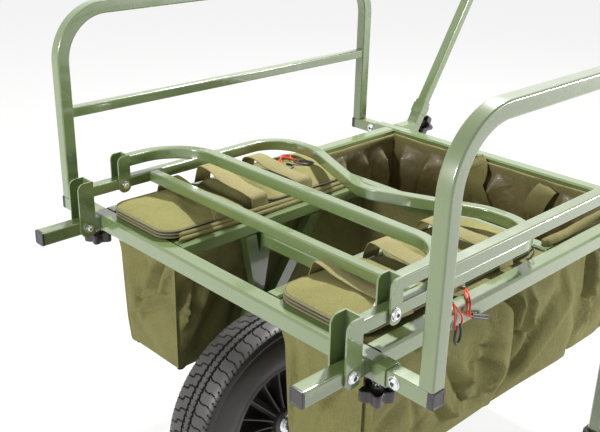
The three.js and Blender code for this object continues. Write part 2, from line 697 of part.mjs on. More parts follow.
for (const [side, sign] of sides) {
  const y = sign * sideRailHalf;
  const half = sleeveLength / 2;
  const sleeveOuter = alongSleeve(tubeAlongZ(sleeveTube, 0, 0, sleeveLength, 0, 0), y, -half);
  const collarLength = sleeveLength * collarLengthShare;
  const collar = alongSleeve(tubeAlongZ(sleeveTube + railWall * 2, 0, 0, collarLength, 0, 0), y,
    half - collarLength - sleeveLength * collarDropShare);
  const extensionEnd = sleeveMiddle.x + sleeveTube / 4;
  const extension = tubeAlongX(rail, 0, -(frameLength + gap), extensionEnd, y, railCentre);
  const gusset = new THREE.Shape();
  gusset.moveTo(-(frameLength + gap + plateThick), railUnder + plateThick);
  gusset.lineTo(sleeveMiddle.x, railUnder + plateThick);
  const gussetLow = sleeveMiddle.clone().addScaledVector(sleeveAxis, -(half - plateThick));
  gusset.lineTo(gussetLow.x, gussetLow.z);
  gusset.closePath();
  const gussetPlate = plate(gusset, y - plateThick * 1.5, y + plateThick * 1.5);
  const bore = alongSleeve(tubeAlongZ(handleTube + slideFit * 2, 0, 0, sleeveLength + overrun * 2, 0, 0), y,
    -half - overrun);
  const onSleeve = (geometry) => geometry.rotateY(Math.PI / 2 + sleeveTilt)
    .translate(sleeveFace.x, y, sleeveFace.z);
  const bracket = fuse(sleeveOuter, collar, extension, gussetPlate, onSleeve(weldNut()));
  addPart(`handle_bracket_${side}`, cut(bracket, bore, onSleeve(studHole(sleeveTube / 4))), paint);

  const start = sleeveMiddle.clone().addScaledVector(sleeveAxis, half - handleInsert).setY(y);
  const elbow = start.clone().addScaledVector(sleeveAxis, handleLength);
  const gripAngle = handleAngle - gripDrop;
  const gripAxis = point(-Math.cos(gripAngle), 0, Math.sin(gripAngle));
  const reach = gripLength + handleBend;
  const end = elbow.clone().addScaledVector(gripAxis, reach);
  addPart(`handle_tube_${side}`, bentTube(tubeSection(handleTube, railWall), [start, elbow, end],
    [handleBend], leftward), paint);

  const gripStart = end.clone().addScaledVector(gripAxis, capThick + gap - gripLength);
  const gripBody = extrude(roundedRectangle(gripSize, gripSize, gripSize * gripCornerShare), gripLength, 2);
  const gripFlange = extrude(roundedRectangle(gripSize + capThick * 2, gripSize + capThick * 2,
    gripSize * gripCornerShare), capThick, 2);
  const gripBore = extrude(roundedRectangle(handleTube + 2 * gap, handleTube + 2 * gap,
    handleTube * cornerShare), gripLength - capThick + overrun).translate(0, 0, -overrun);
  const grip = cut(fuse(gripBody, gripFlange), gripBore).rotateY(gripAngle - Math.PI / 2);
  addPart(`handle_grip_${side}`, grip, gripRubber, [gripStart.x, y, gripStart.z]);
}

// Rear legs: a tube with a foot, sliding in a socket under each side rail
for (const [side, sign] of sides) {
  const y = sign * sideRailHalf;
  addPart(`leg_tube_${side}`, tubeAlongZ(legTube, railWall, footHeight / 2, legTop, legX, y), paint);
  const foot = extrude(roundedRectangle(footWidth, footWidth, footWidth / 5), footHeight);
  const pocket = block([-legTube / 2 - gap, legTube / 2 + gap], [-legTube / 2 - gap, legTube / 2 + gap],
    [footHeight / 2 - gap, footHeight + overrun]);
  addPart(`leg_foot_${side}`, cut(foot, pocket), blackPlastic, [legX, y, 0]);
}

// Star knobs: a lobed head, a boss and a stud that passes through a weld nut
const knobStandoff = nutHeight + gap;

function starKnob(studLength) {
  const outline = new THREE.Shape();
  const pointsPerLobe = 4;
  const count = knobLobes * pointsPerLobe;
  const bevel = knobThick * knobBevelShare;
  for (let k = 0; k < count; k += 1) {
    const angle = (Math.PI * 2 * k) / count;
    const lobe = (knobLobeShare / 2) * Math.cos(knobLobes * angle);
    const r = (knobRadius - bevel) * (1 - knobLobeShare / 2 + lobe);
    if (k) outline.lineTo(r * Math.cos(angle), r * Math.sin(angle));
    else outline.moveTo(r, 0);
  }
  outline.closePath();
  const head = new THREE.ExtrudeGeometry(outline, {
    depth: knobThick - 2 * bevel, bevelEnabled: true, bevelThickness: bevel, bevelSize: bevel,
    bevelSegments: 1,
  }).translate(0, 0, -(knobStandoff + knobBossHeight + knobThick - bevel));
  const boss = rodAlongZ(knobBossRadius, -knobStandoff, -(knobStandoff + knobBossHeight + bevel), 0, 0, 8);
  const stud = rodAlongZ(boltRadius, studLength, -(knobStandoff + knobBossHeight), 0, 0, 6);
  return fuse(head, boss, stud);
}

const wallStud = railWall + slideFit / 2;
const sleeveWall = (sleeveTube - handleTube) / 2 - slideFit;

function addKnob(name, studLength, place, rotation = [0, 0, 0]) {
  addPart(name, starKnob(studLength), blackPlastic, place, rotation);
}

for (const [side, sign] of sides) {
  for (const [name, x] of crossRailPlaces) {
    const end = name.replace('_rail', '');
    addKnob(`side_bar_knob_${end}_${side}`, wallStud, [x, sign * knobPlaceY, railUnder]);
  }
  addKnob(`leg_knob_${side}`, wallStud, [legX, sign * sideRailOuter, socketKnobZ],
    [sign * Math.PI / 2, 0, 0]);
  addKnob(`handle_knob_${side}`, sleeveWall + slideFit / 2,
    [sleeveFace.x, sign * sideRailHalf, sleeveFace.z], [0, Math.PI / 2 + sleeveTilt, 0]);
}

// Canvas bags: two closed bags on each side of the wheel, with padded lids on their tops
const frontBagFront = -(rail + gap);
const frontBagBack = frontBagFront - frontBagLength;
const midBagFront = frontBagBack - bagClear * 2;
const midBagBack = midRailBack + bagClear;
const bagTopBack = -(midRailPlace - gap);
const bagInner = bayHalf + forkLegThick + bagClear * 2;
const neckInner = innerRailOuter + gap;
const neckOuter = sideRailInner - gap;

function bagBox(xs, ys, zs, radius) {
  const [length, width] = [Math.abs(xs[1] - xs[0]), Math.abs(ys[1] - ys[0])];
  return extrude(roundedRectangle(length, width, radius), Math.abs(zs[1] - zs[0]), 2)
    .translate((xs[0] + xs[1]) / 2, (ys[0] + ys[1]) / 2, Math.min(...zs));
}

// A bag is wider below the rails than between them
function closedBag(front, back, neckBack, sign) {
  const body = bagBox([front, back], [sign * bagInner, sign * (sideRailInner + bagClear)],
    [deck - closedBagDepth, railUnder - bagClear], bagCorner);
  const neck = bagBox([front, neckBack], [sign * neckInner, sign * neckOuter],
    [railUnder - bagClear * 4, deck - bagClear * 2], bagCorner / 2);
  return fuse(body, neck);
}

function bagLid(front, back, sign) {
  const [length, width] = [Math.abs(back - front), neckOuter - neckInner];
  const bevel = lidThick * lidBevelShare;
  const shape = roundedRectangle(length - 2 * bevel, width - 2 * bevel, lidCorner - bevel);
  return new THREE.ExtrudeGeometry(shape, {
    depth: lidThick - 2 * bevel, bevelEnabled: true, bevelThickness: bevel, bevelSize: bevel,
    bevelSegments: 2, curveSegments: 1,
  }).translate((front + back) / 2, sign * (neckInner + width / 2), deck - bagClear * 2 + gap + bevel);
}

for (const [side, sign] of sides) {
  addPart(`front_bag_${side}`, closedBag(frontBagFront, frontBagBack, frontBagBack, sign), canvas);
  addPart(`middle_bag_${side}`, closedBag(midBagFront, midBagBack, bagTopBack, sign), canvas);
  addPart(`front_bag_lid_${side}`, bagLid(frontBagFront, frontBagFront - frontLidLength, sign), lidCloth);
  addPart(`middle_bag_lid_${side}`, bagLid(bagTopBack + midLidLength, bagTopBack, sign), lidCloth);
}

// The open bag fills the deck behind the cross rail
const rearBagFront = midRailBack - gap;
const rearBagBack = rearRailFront + gap;
const rearBagHalf = sideRailInner - gap;
const rearBagBottom = deck - rearBagDepth;
const rearBagShell = bagBox([rearBagFront, rearBagBack], [-rearBagHalf, rearBagHalf],
  [rearBagBottom, deck - bagClear], bagCorner);
const insideHalf = rearBagHalf - bagWall;
const rearBagInside = bagBox([rearBagFront - bagWall, rearBagBack + bagWall], [-insideHalf, insideHalf],
  [rearBagBottom + bagWall, deck + overrun], bagCorner - bagWall);
addPart('rear_bag', cut(rearBagShell, rearBagInside), canvas);

// The origin goes to the middle of the underside of the whole trolley
assembly.updateMatrixWorld(true);
const extent = new THREE.Box3().setFromObject(assembly, true);
const extentMiddle = extent.getCenter(point(0, 0, 0));
assembly.position.set(-extentMiddle.x, -extentMiddle.y, -extent.min.z);
assembly.updateMatrixWorld(true);

const trolley = new THREE.Group();
trolley.add(assembly);

export default trolley;
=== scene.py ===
import math

import bmesh
import bpy
import numpy as np
from mathutils import Matrix, Vector, noise


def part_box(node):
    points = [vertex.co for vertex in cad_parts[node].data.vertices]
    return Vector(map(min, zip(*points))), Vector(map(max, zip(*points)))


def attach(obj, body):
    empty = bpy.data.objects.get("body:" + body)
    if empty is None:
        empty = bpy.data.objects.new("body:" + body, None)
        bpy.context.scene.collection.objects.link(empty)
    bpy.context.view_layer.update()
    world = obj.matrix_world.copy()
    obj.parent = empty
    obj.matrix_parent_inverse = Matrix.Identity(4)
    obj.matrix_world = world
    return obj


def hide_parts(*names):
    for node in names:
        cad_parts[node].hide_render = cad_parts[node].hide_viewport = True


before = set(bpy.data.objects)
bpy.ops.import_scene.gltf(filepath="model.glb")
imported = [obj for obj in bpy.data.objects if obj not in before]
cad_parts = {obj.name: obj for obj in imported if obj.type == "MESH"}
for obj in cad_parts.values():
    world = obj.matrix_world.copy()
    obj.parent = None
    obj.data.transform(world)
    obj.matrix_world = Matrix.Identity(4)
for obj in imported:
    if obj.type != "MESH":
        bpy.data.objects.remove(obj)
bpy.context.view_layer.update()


# The camera stands ahead of the trolley's left front corner, above its side bars.
# Places are in millimetres behind the deck's front face, left of its middle and above its top.
MM = 0.001
DECK_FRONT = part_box("front_rail")[1].x
DECK_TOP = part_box("front_rail")[1].z
PHOTO = {"width": 600, "height": 432, "focal": 886.1, "centre": (298.7, 217.0)}
CAMERA_PLACE = (-756.5, 976.3, 618.1)
# The ways to the right, down and forward, as the camera sees them
CAMERA_WAYS = ((-0.72204, 0.69155, 0.02022), (0.25649, 0.29472, -0.92052), (-0.64255, -0.65946, -0.39017))


def spot(back, left, above):
    return Vector((DECK_FRONT - back * MM, left * MM, DECK_TOP + above * MM))


def place_camera():
    lens = bpy.data.cameras.new("camera")
    lens.sensor_width = 36
    lens.lens = PHOTO["focal"] * lens.sensor_width / PHOTO["width"]
    lens.shift_x = (PHOTO["width"] / 2 - PHOTO["centre"][0]) / PHOTO["width"]
    lens.shift_y = (PHOTO["centre"][1] - PHOTO["height"] / 2) / PHOTO["width"]
    lens.clip_start = 0.05
    camera = bpy.data.objects.new("camera", lens)
    right, down, forward = (Vector(row) for row in CAMERA_WAYS)
    turn = Matrix((right, -down, -forward)).transposed()
    camera.matrix_world = Matrix.Translation(spot(*CAMERA_PLACE)) @ turn.to_4x4()
    bpy.context.scene.collection.objects.link(camera)
    bpy.context.scene.camera = camera


place_camera()


# The studio: a wide white floor in an even pale room, a small hard lamp high up behind on the right
# that casts the shadows, and two soft boxes, one ahead and one behind on the left.
class Socket:
    """A number or a colour on its way through a node tree, for sums written as Python."""

    def __init__(self, nodes, link):
        self.nodes = nodes
        self.link = link

    def sum(self, kind, first, second):
        return self.nodes.node("Math", {"operation": kind}, {0: first, 1: second})

    def __add__(self, other):
        return self.sum("ADD", self, other)

    def __radd__(self, other):
        return self.sum("ADD", other, self)

    def __sub__(self, other):
        return self.sum("SUBTRACT", self, other)

    def __rsub__(self, other):
        return self.sum("SUBTRACT", other, self)

    def __mul__(self, other):
        return self.sum("MULTIPLY", self, other)

    def __rmul__(self, other):
        return self.sum("MULTIPLY", other, self)

    def root(self):
        return self.sum("SQRT", self, 0.0)

    def wave(self, length):
        """A sine along a length of this socket's own unit."""
        return self.sum("SINE", self * (math.tau / length), 0.0)


def colour(red, green, blue):
    """A colour as its screen values from 0 to 255, turned to the linear ones that a shader takes."""
    parts = [value / 255 for value in (red, green, blue)]
    linear = [v / 12.92 if v <= 0.04045 else ((v + 0.055) / 1.055) ** 2.4 for v in parts]
    return (*linear, 1.0)


class Nodes:
    """The nodes of one finish, or of the studio's room."""

    def __init__(self, tree):
        self.tree = tree

    def node(self, kind, settings=None, inputs=None, give=0):
        made = self.tree.nodes.new("ShaderNode" + kind)
        for label, value in (settings or {}).items():
            setattr(made, label, value)
        for label, value in (inputs or {}).items():
            self.feed(made.inputs[label], value)
        return Socket(self, made.outputs[give])

    def feed(self, port, value):
        if isinstance(value, Socket):
            self.tree.links.new(value.link, port)
        else:
            port.default_value = value

    def ray(self, kind):
        """1 for a ray of that kind, and 0 for any other."""
        return self.node("LightPath", give=f"Is {kind} Ray")


class Finish(Nodes):
    """One material, named for what it covers, whose nodes feed its principled shader."""

    def __init__(self, name, slot=None, plain=None):
        self.material = bpy.data.materials.new(name)
        self.material.use_nodes = True
        super().__init__(self.material.node_tree)
        self.slot = slot
        self.shader = self.tree.nodes["Principled BSDF"]
        for label, value in (plain or {}).items():
            self.shader.inputs[label].default_value = value

    def parts(self, place):
        """The three numbers of a place."""
        return [self.node("SeparateXYZ", None, {0: place}, k) for k in range(3)]

    def give(self, label, value):
        self.feed(self.shader.inputs[label], value)

    def place(self):
        return self.node("TexCoord", give=3)

    def noise(self, size, detail=2.0, rough=0.5, warp=0.0, place=None):
        """Noise whose lumps are about that many millimetres across."""
        settings = {"Vector": place or self.place(), "Scale": 1 / (size * MM), "Detail": detail}
        settings.update({"Roughness": rough, "Distortion": warp})
        return self.node("TexNoise", None, settings)

    def step(self, value, low, high):
        """0 below low, 1 above high, and an even slope between them."""
        settings = {"Value": value, "From Min": low, "From Max": high}
        return self.node("MapRange", None, settings)

    def mix(self, share, first, second):
        return self.node("Mix", {"data_type": "RGBA"}, {0: share, 6: first, 7: second}, give=2)

    def bump(self, height, depth, over=None):
        """A surface pushed in and out by height times that many millimetres."""
        settings = {"Height": height, "Distance": depth * MM, "Strength": 1.0}
        if over:
            settings["Normal"] = over
        return self.node("Bump", None, settings)


FLOOR_HALF, FLOOR_BELOW = 30, 0.0005
FLOOR_GLOW, ROOM_GLOW, STUDIO_SHINE = 0.85, 0.3, 1.4


def lit_floor():
    """White, and mostly lit by itself where the camera or a reflection sees it."""
    floor = Finish("studio_floor", plain={"Roughness": 0.9, "Specular IOR Level": 0.1})
    floor.give("Base Color", colour(238, 238, 236))
    mirrored = floor.ray("Glossy")
    shine = floor.mix(mirrored, (1, 1, 1, 1), (STUDIO_SHINE, STUDIO_SHINE, STUDIO_SHINE, 1))
    glow = floor.node("Emission", None, {"Color": shine, "Strength": 1.0})
    seen = (floor.ray("Camera") + mirrored) * FLOOR_GLOW
    mixed = floor.node("MixShader", None, {0: seen, 1: Socket(floor, floor.shader.outputs[0]), 2: glow})
    floor.feed(floor.tree.nodes["Material Output"].inputs["Surface"], mixed)
    return floor.material


def build_studio():
    mesh = bpy.data.meshes.new("studio_floor")
    corners = [(-1, -1), (1, -1), (1, 1), (-1, 1)]
    mesh.from_pydata([(x * FLOOR_HALF, y * FLOOR_HALF, -FLOOR_BELOW) for x, y in corners], [], [(0, 1, 2, 3)])
    mesh.materials.append(lit_floor())
    floor = bpy.data.objects.new("studio_floor", mesh)
    bpy.context.scene.collection.objects.link(floor)

    world = bpy.data.worlds.new("studio_room")
    bpy.context.scene.world = world
    world.use_nodes = True
    room = Nodes(world.node_tree)
    sky = room.tree.nodes["Background"]
    room.feed(sky.inputs["Color"], (1, 1, 1, 1))
    room.feed(sky.inputs["Strength"], ROOM_GLOW)
    bright = room.node("Background", None, {"Strength": STUDIO_SHINE})
    seen = room.node("Math", {"operation": "MAXIMUM"}, {0: room.ray("Camera"), 1: room.ray("Glossy")})
    mixed = room.node("MixShader", None, {0: seen, 1: Socket(room, sky.outputs[0]), 2: bright})
    room.feed(room.tree.nodes["World Output"].inputs["Surface"], mixed)


# Each lamp: where it stands, what it faces, its side in metres and its power in watts
LAMPS = {
    "soft_box_key": ((-1.25, -0.75, 2.9), (0.25, 0.0, 0.45), 0.2, 165),
    "soft_box_front": ((2.7, -0.3, 1.5), (0.2, 0.0, 0.4), 0.5, 52),
    "soft_box_left": ((-1.9, 1.9, 0.8), (0.0, 0.3, 0.4), 0.3, 66),
}


def place_lights():
    for name, (where, target, side, power) in LAMPS.items():
        lamp = bpy.data.lights.new(name, "AREA")
        lamp.shape = "SQUARE"
        lamp.size = side
        lamp.energy = power
        light = bpy.data.objects.new(name, lamp)
        light.location = where
        light.rotation_euler = (Vector(target) - Vector(where)).to_track_quat("-Z", "Y").to_euler()
        bpy.context.scene.collection.objects.link(light)


build_studio()
place_lights()
bpy.context.scene.view_settings.view_transform = "Standard"


# Straight frame tubes: rolled square steel, welded into a deck and dipped in one olive green gloss.
# They stay as the CAD parts that they are, with their edges rounded and the gloss laid over them.
PAINT_MID = colour(104, 122, 72)
PAINT_DEEP = colour(90, 108, 60)


def paint_finish():
    gloss = {"Coat Roughness": 0.06, "Coat IOR": 1.6, "Specular IOR Level": 0.8}
    paint = Finish("olive_gloss_paint", "paint", gloss)
    drift = paint.noise(260, 2)
    paint.give("Base Color", paint.mix(drift, PAINT_DEEP, PAINT_MID))
    peel = paint.noise(7, 1)
    speck = paint.noise(1.6, 2)
    paint.give("Roughness", 0.2 + paint.noise(40, 3) * 0.12)
    paint.give("Coat Weight", 0.75 + speck * 0.2)
    paint.give("Normal", paint.bump(peel, 0.02, paint.bump(speck, 0.008)))
    return paint


PAINT = paint_finish()


def cover(obj, finish):
    obj.data.materials.clear()
    obj.data.materials.append(finish.material)


def soften(obj, width):
    """Rounds a part's edges, and shades its flats flat and its corners round."""
    obj.data.shade_smooth()
    flats = obj.modifiers.new("flats", "DECIMATE")
    flats.decimate_type = "DISSOLVE"
    flats.angle_limit = math.radians(1)
    edges = obj.modifiers.new("edges", "BEVEL")
    edges.width = width * MM
    edges.segments = 2
    edges.limit_method = "ANGLE"
    edges.angle_limit = math.radians(28)
    shading = obj.modifiers.new("shading", "WEIGHTED_NORMAL")
    shading.keep_sharp = False


def finish_nodes(names, finish, width):
    for name in names:
        cover(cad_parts[name], finish)
        soften(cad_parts[name], width)


SIDES = {"left": 1, "right": -1}
PAINTED_NODES = ["front_rail", "rear_rail", "mid_rail", "fork_crossbar", "gate_crossbar"]
for side in SIDES:
    PAINTED_NODES += [f"side_rail_{side}", f"bay_rail_{side}", f"fork_{side}", f"handle_bracket_{side}"]
    PAINTED_NODES += [f"gate_bracket_{side}", f"platform_bracket_{side}", f"leg_tube_{side}"]
finish_nodes(PAINTED_NODES, PAINT, 0.7)


# Bent and sliding tubes: square tube of 19 to 25 mm drawn round a bender, in the same gloss.
# Each is swept along the route of the CAD tube that it stands for, with the tube's true round corners.
TUBE_CORNER_SHARE = 0.13
BEND_STEP = math.radians(4)


def rounded_square(size, corner, steps=4, height=None):
    """The points of a square, or a rectangle, with round corners, in metres."""
    half_width = size / 2 - corner
    half_height = (height or size) / 2 - corner
    middles = [(1, 1), (-1, 1), (-1, -1), (1, -1)]
    points = []
    for quarter, (right, upper) in enumerate(middles):
        for k in range(steps + 1):
            turn = (quarter + k / steps) * math.pi / 2
            across = right * half_width + corner * math.cos(turn)
            points.append((across * MM, (upper * half_height + corner * math.sin(turn)) * MM))
    return points


def bent_route(corners, bends, plane):
    """Places along straights joined by round bends: each a point, the way across and the way out."""
    plane = plane.normalized()
    stations = [(corners[0], (corners[1] - corners[0]).normalized())]
    for before, corner, after, radius in zip(corners, corners[1:], corners[2:], bends):
        into = (corner - before).normalized()
        out = (after - corner).normalized()
        turn = into.angle(out)
        start = corner - into * radius * MM * math.tan(turn / 2)
        side = (out - into * out.dot(into)).normalized()
        centre = start + side * radius * MM
        steps = max(2, math.ceil(turn / BEND_STEP))
        for k in range(steps + 1):
            a = turn * k / steps
            outward = into * math.sin(a) - side * math.cos(a)
            stations.append((centre + outward * radius * MM, into * math.cos(a) + side * math.sin(a)))
    stations.append((corners[-1], (corners[-1] - corners[-2]).normalized()))
    return [(point, plane.cross(along).normalized(), plane) for point, along in stations]


def loft(rings, closed=False):
    """Vertices and faces through rings of as many points each, capped at both ends unless closed."""
    count = len(rings[0])
    verts = [point for ring in rings for point in ring]
    faces = []
    for i in range(len(rings) - (0 if closed else 1)):
        n = (i + 1) % len(rings)
        for j in range(count):
            k = (j + 1) % count
            faces.append((i * count + j, i * count + k, n * count + k, n * count + j))
    if not closed:
        faces.append(tuple(range(count)))
        last = (len(rings) - 1) * count
        faces.append(tuple(range(last, last + count)))
    return verts, faces


def piece(name, skin, finish, body, crease=40):
    """One visible piece from its vertices and faces, in its finish, riding on its body."""
    mesh = bpy.data.meshes.new(name)
    mesh.from_pydata([tuple(v) for v in skin[0]], [], skin[1])
    tidy = bmesh.new()
    tidy.from_mesh(mesh)
    bmesh.ops.recalc_face_normals(tidy, faces=tidy.faces)
    tidy.to_mesh(mesh)
    tidy.free()
    mesh.shade_smooth()
    mesh.set_sharp_from_angle(angle=math.radians(crease))
    obj = bpy.data.objects.new(name, mesh)
    bpy.context.scene.collection.objects.link(obj)
    cover(obj, finish)
    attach(obj, body)
    return obj


def tube(name, corners, bends, plane, size, body, node=None):
    section = rounded_square(size, size * TUBE_CORNER_SHARE)
    rings = [[point + across * a + out * b for a, b in section]
             for point, across, out in bent_route(corners, bends, plane)]
    made = piece(name, loft(rings), PAINT, body)
    made.modifiers.new("shading", "WEIGHTED_NORMAL").keep_sharp = True
    if node:
        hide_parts(node)
    return made


ACROSS = Vector((0, 1, 0))
UP = Vector((0, 0, 1))
RAIL_MIDDLE, SIDE_RAIL, BASE_TUBE = -15, 318, 25
FRONT_BASE, REAR_BASE = 15, 812
ENDS = {"front": FRONT_BASE, "rear": REAR_BASE}
STUB_START, STUB_END = -0.3, -109.7
SIDE_BAR_PLANE, SIDE_BAR_BEND = 427, 92
SIDE_BAR_TOP, SIDE_BAR_FOOT, SIDE_BAR_MIDDLE = 340, -2.2, 158
SIDE_BAR_TUBE, SIDE_BAR_MIDDLE_TUBE, MIDDLE_INSET = 24, 19, 9
BASE_INNER, BASE_OUTER, BASE_CAP = 134, 431, 10
GATE_HEIGHT, GATE_START, GATE_END = 46, -10.7, 439
GATE_DIP, GATE_DIP_HALF = 351, 205
PLATFORM_HEIGHT, PLATFORM_START, PLATFORM_END = 85, 67.8, 197
RACK_TUBE, GATE_BENDS, PLATFORM_BENDS = 20, [75, 70, 70, 70, 75], [72, 94]


def mirrored(places):
    """Places on the left, from the last to the first, put to the right."""
    return [Vector((place.x, -place.y, place.z)) for place in reversed(places)]


for side, sign in SIDES.items():
    y = sign * SIDE_BAR_PLANE
    hoop = [spot(FRONT_BASE, y, SIDE_BAR_FOOT), spot(FRONT_BASE, y, SIDE_BAR_TOP)]
    hoop += [spot(REAR_BASE, y, SIDE_BAR_TOP), spot(REAR_BASE, y, SIDE_BAR_FOOT)]
    body = f"side_bar_{side}"
    tube(f"side_bar_hoop_{side}", hoop, [SIDE_BAR_BEND] * 2, ACROSS, SIDE_BAR_TUBE, body, f"side_bar_{side}")
    middle = [spot(x, y, SIDE_BAR_MIDDLE) for x in (FRONT_BASE + MIDDLE_INSET, REAR_BASE - MIDDLE_INSET)]
    tube(f"side_bar_middle_{side}", middle, [], ACROSS, SIDE_BAR_MIDDLE_TUBE, body)
    for end, x in ENDS.items():
        base = [spot(x, sign * out, RAIL_MIDDLE) for out in (BASE_INNER, BASE_OUTER)]
        tube(f"side_bar_base_tube_{end}_{side}", base, [], UP, BASE_TUBE, body, f"side_bar_base_{end}_{side}")
    stub = [spot(x, sign * SIDE_RAIL, RAIL_MIDDLE) for x in (STUB_START, STUB_END)]
    tube(f"rack_stub_tube_{side}", stub, [], UP, BASE_TUBE, "frame", f"rack_stub_{side}")

gate = [spot(GATE_START, SIDE_RAIL, GATE_HEIGHT), spot(GATE_END, SIDE_RAIL, GATE_HEIGHT)]
gate += [spot(GATE_END, GATE_DIP_HALF, GATE_HEIGHT), spot(GATE_DIP, 0, GATE_HEIGHT)]
gate += mirrored(gate[:3])
tube("gate_hoop_tube", gate, GATE_BENDS, UP, RACK_TUBE, "gate", "gate_hoop")
platform = [spot(x, SIDE_RAIL, PLATFORM_HEIGHT) for x in (PLATFORM_START, PLATFORM_END)]
platform += mirrored(platform)
tube("platform_hoop_tube", platform, PLATFORM_BENDS, UP, RACK_TUBE, "platform", "platform_hoop")


# Push handles: square tube that leans back out of its sleeve, bent flatter at the top for the hand.
# Each carries a moulded rubber grip with ribs across it.
HANDLE_LEAN = math.radians(58)
GRIP_LEAN = math.radians(18)
# The grip's closed end stands past the tube's end by GRIP_END
HANDLE_LENGTH, HANDLE_BEND, GRIP_LENGTH, GRIP_END = 520, 60, 120, 4.3
SLEEVE_BACK, SLEEVE_ABOVE, SLEEVE_HALF, HANDLE_INSERT = 893, 2, 48, 88
HANDLE_TUBE, GRIP_SIZE, GRIP_COLLAR, GRIP_RIB_PITCH, GRIP_RIB_STEPS = 22, 31, 40, 6, 6


def leaning(angle):
    return Vector((-math.cos(angle), 0, math.sin(angle)))


def mottled(name, slot, plain, tone, dark, light, rough, wear=None, grain=None, depth=0.0):
    """A finish between two colours. Its tone, wear and grain are noises, each by its size and detail."""
    made = Finish(name, slot, plain)
    drift = made.noise(*tone)
    made.give("Base Color", made.mix(drift, colour(*dark), colour(*light)))
    made.give("Roughness", rough[0] + (made.noise(*wear) if wear else drift) * rough[1])
    if grain:
        made.give("Normal", made.bump(made.noise(*grain), depth))
    return made


GRIP_RUBBER = mottled("black_grip_rubber", "grip_rubber", {"Specular IOR Level": 0.35}, (25, 3),
                      (26, 25, 26), (40, 38, 38), (0.6, 0.2), (1.2, 3), (1.2, 3), 0.08)

for side, sign in SIDES.items():
    sleeve = spot(SLEEVE_BACK, sign * SIDE_RAIL, SLEEVE_ABOVE)
    start = sleeve + leaning(HANDLE_LEAN) * (SLEEVE_HALF - HANDLE_INSERT) * MM
    elbow = start + leaning(HANDLE_LEAN) * HANDLE_LENGTH * MM
    end = elbow + leaning(GRIP_LEAN) * (GRIP_LENGTH + HANDLE_BEND) * MM
    tube(f"handle_bent_tube_{side}", [start, elbow, end], [HANDLE_BEND], ACROSS, HANDLE_TUBE,
         f"handle_{side}", f"handle_tube_{side}")
    along = leaning(GRIP_LEAN)
    out = ACROSS.cross(along)
    grip_start = end - along * (GRIP_LENGTH - GRIP_END) * MM
    steps = GRIP_LENGTH // GRIP_RIB_PITCH * GRIP_RIB_STEPS
    rings = []
    for k in range(steps + 1):
        share = k / steps
        swell = 1.6 * math.sin(math.pi * share) + 0.7 * math.cos(math.tau * k / GRIP_RIB_STEPS)
        size = GRIP_COLLAR if share > 0.95 else GRIP_SIZE + swell
        if k in (0, steps):
            size -= 2.5
        ring = rounded_square(size, size * 0.34, 5)
        rings.append([grip_start + along * share * GRIP_LENGTH * MM + ACROSS * a + out * b for a, b in ring])
    grip = piece(f"grip_{side}", loft(rings), GRIP_RUBBER, f"handle_{side}")
    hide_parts(f"handle_grip_{side}")


# End caps: square black plastic plugs pressed into the open ends of the base tubes and the rack stubs.
# The face stands a little proud of the tube, with a soft rim round a shallow panel.
BLACK_PLASTIC = mottled("black_moulded_plastic", "black_plastic", {"Specular IOR Level": 0.5}, (30, 3),
                        (38, 35, 36), (60, 55, 56), (0.34, 0.16), None, (0.9, 2), 0.03)
# Each ring of a cap: how far it is drawn in from the tube's side, and its height, which a thicker cap raises
CAP_THICK, CAP_SUNK = 4.3, 0.3
CAP_RINGS = [(0.2, 0.1), (0, 0.6), (0, 3.4), (0.5, 4.1), (1.4, CAP_THICK), (3.2, CAP_THICK), (3.9, 3.8)]


def cap(name, seat, axis, thick, body, node=None):
    across = Vector((abs(axis.y), axis.x, 0))
    rings = []
    for drawn, height in CAP_RINGS:
        height += (thick - CAP_THICK) * (height > 1)
        corners = rounded_square(BASE_TUBE - 2 * drawn, max(0.6, BASE_TUBE * TUBE_CORNER_SHARE - drawn * 0.5))
        rings.append([seat + across * a + UP * b + axis * height * MM for a, b in corners])
    made = piece(name, loft(rings), BLACK_PLASTIC, body, 30)
    if node:
        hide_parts(node)


FORWARD = Vector((1, 0, 0))
for side, sign in SIDES.items():
    cap(f"stub_end_cap_{side}", spot(STUB_END, sign * SIDE_RAIL, RAIL_MIDDLE), FORWARD, CAP_THICK, "frame",
        f"stub_cap_{side}")
    for end, x in ENDS.items():
        seat = spot(x, sign * (BASE_OUTER - CAP_SUNK), RAIL_MIDDLE)
        cap(f"base_cap_{end}_{side}", seat, ACROSS * sign, BASE_CAP, f"side_bar_{side}")


# Fasteners: bright zinc plated button head screws with a hexagon socket and a washer, and plain nuts.
# They are the pivots of the two folding racks and the stops of the sliding base tubes.
ZINC = mottled("bright_zinc", "zinc_steel", {"Metallic": 1.0}, (3, 3), (196, 199, 202), (226, 227, 226),
               (0.16, 0.16), None, (0.8, 2), 0.015)
# Dark steel for the zip sliders and the ring, also used as painted shade on the floor of each screw's socket.
DARK_STEEL_AND_SHADE = mottled("dark_steel_and_painted_shade", "zinc_steel", {"Metallic": 1.0}, (1.5, 2), (48, 50, 54), (92, 95, 100),
                       (0.4, 0.2), (2, 2))
SCREW_HEAD, SCREW_HEIGHT, SOCKET, NUT, NUT_HEIGHT, THREAD_END = 9.6, 5, 6.4, 13, 6.5, 2.0


def hexagon(across):
    """The reach of a hexagon's side from its middle, at any angle."""
    def reach(angle):
        turn = (angle + math.pi / 6) % (math.pi / 3) - math.pi / 6
        return across / 2 / math.cos(turn)
    return reach


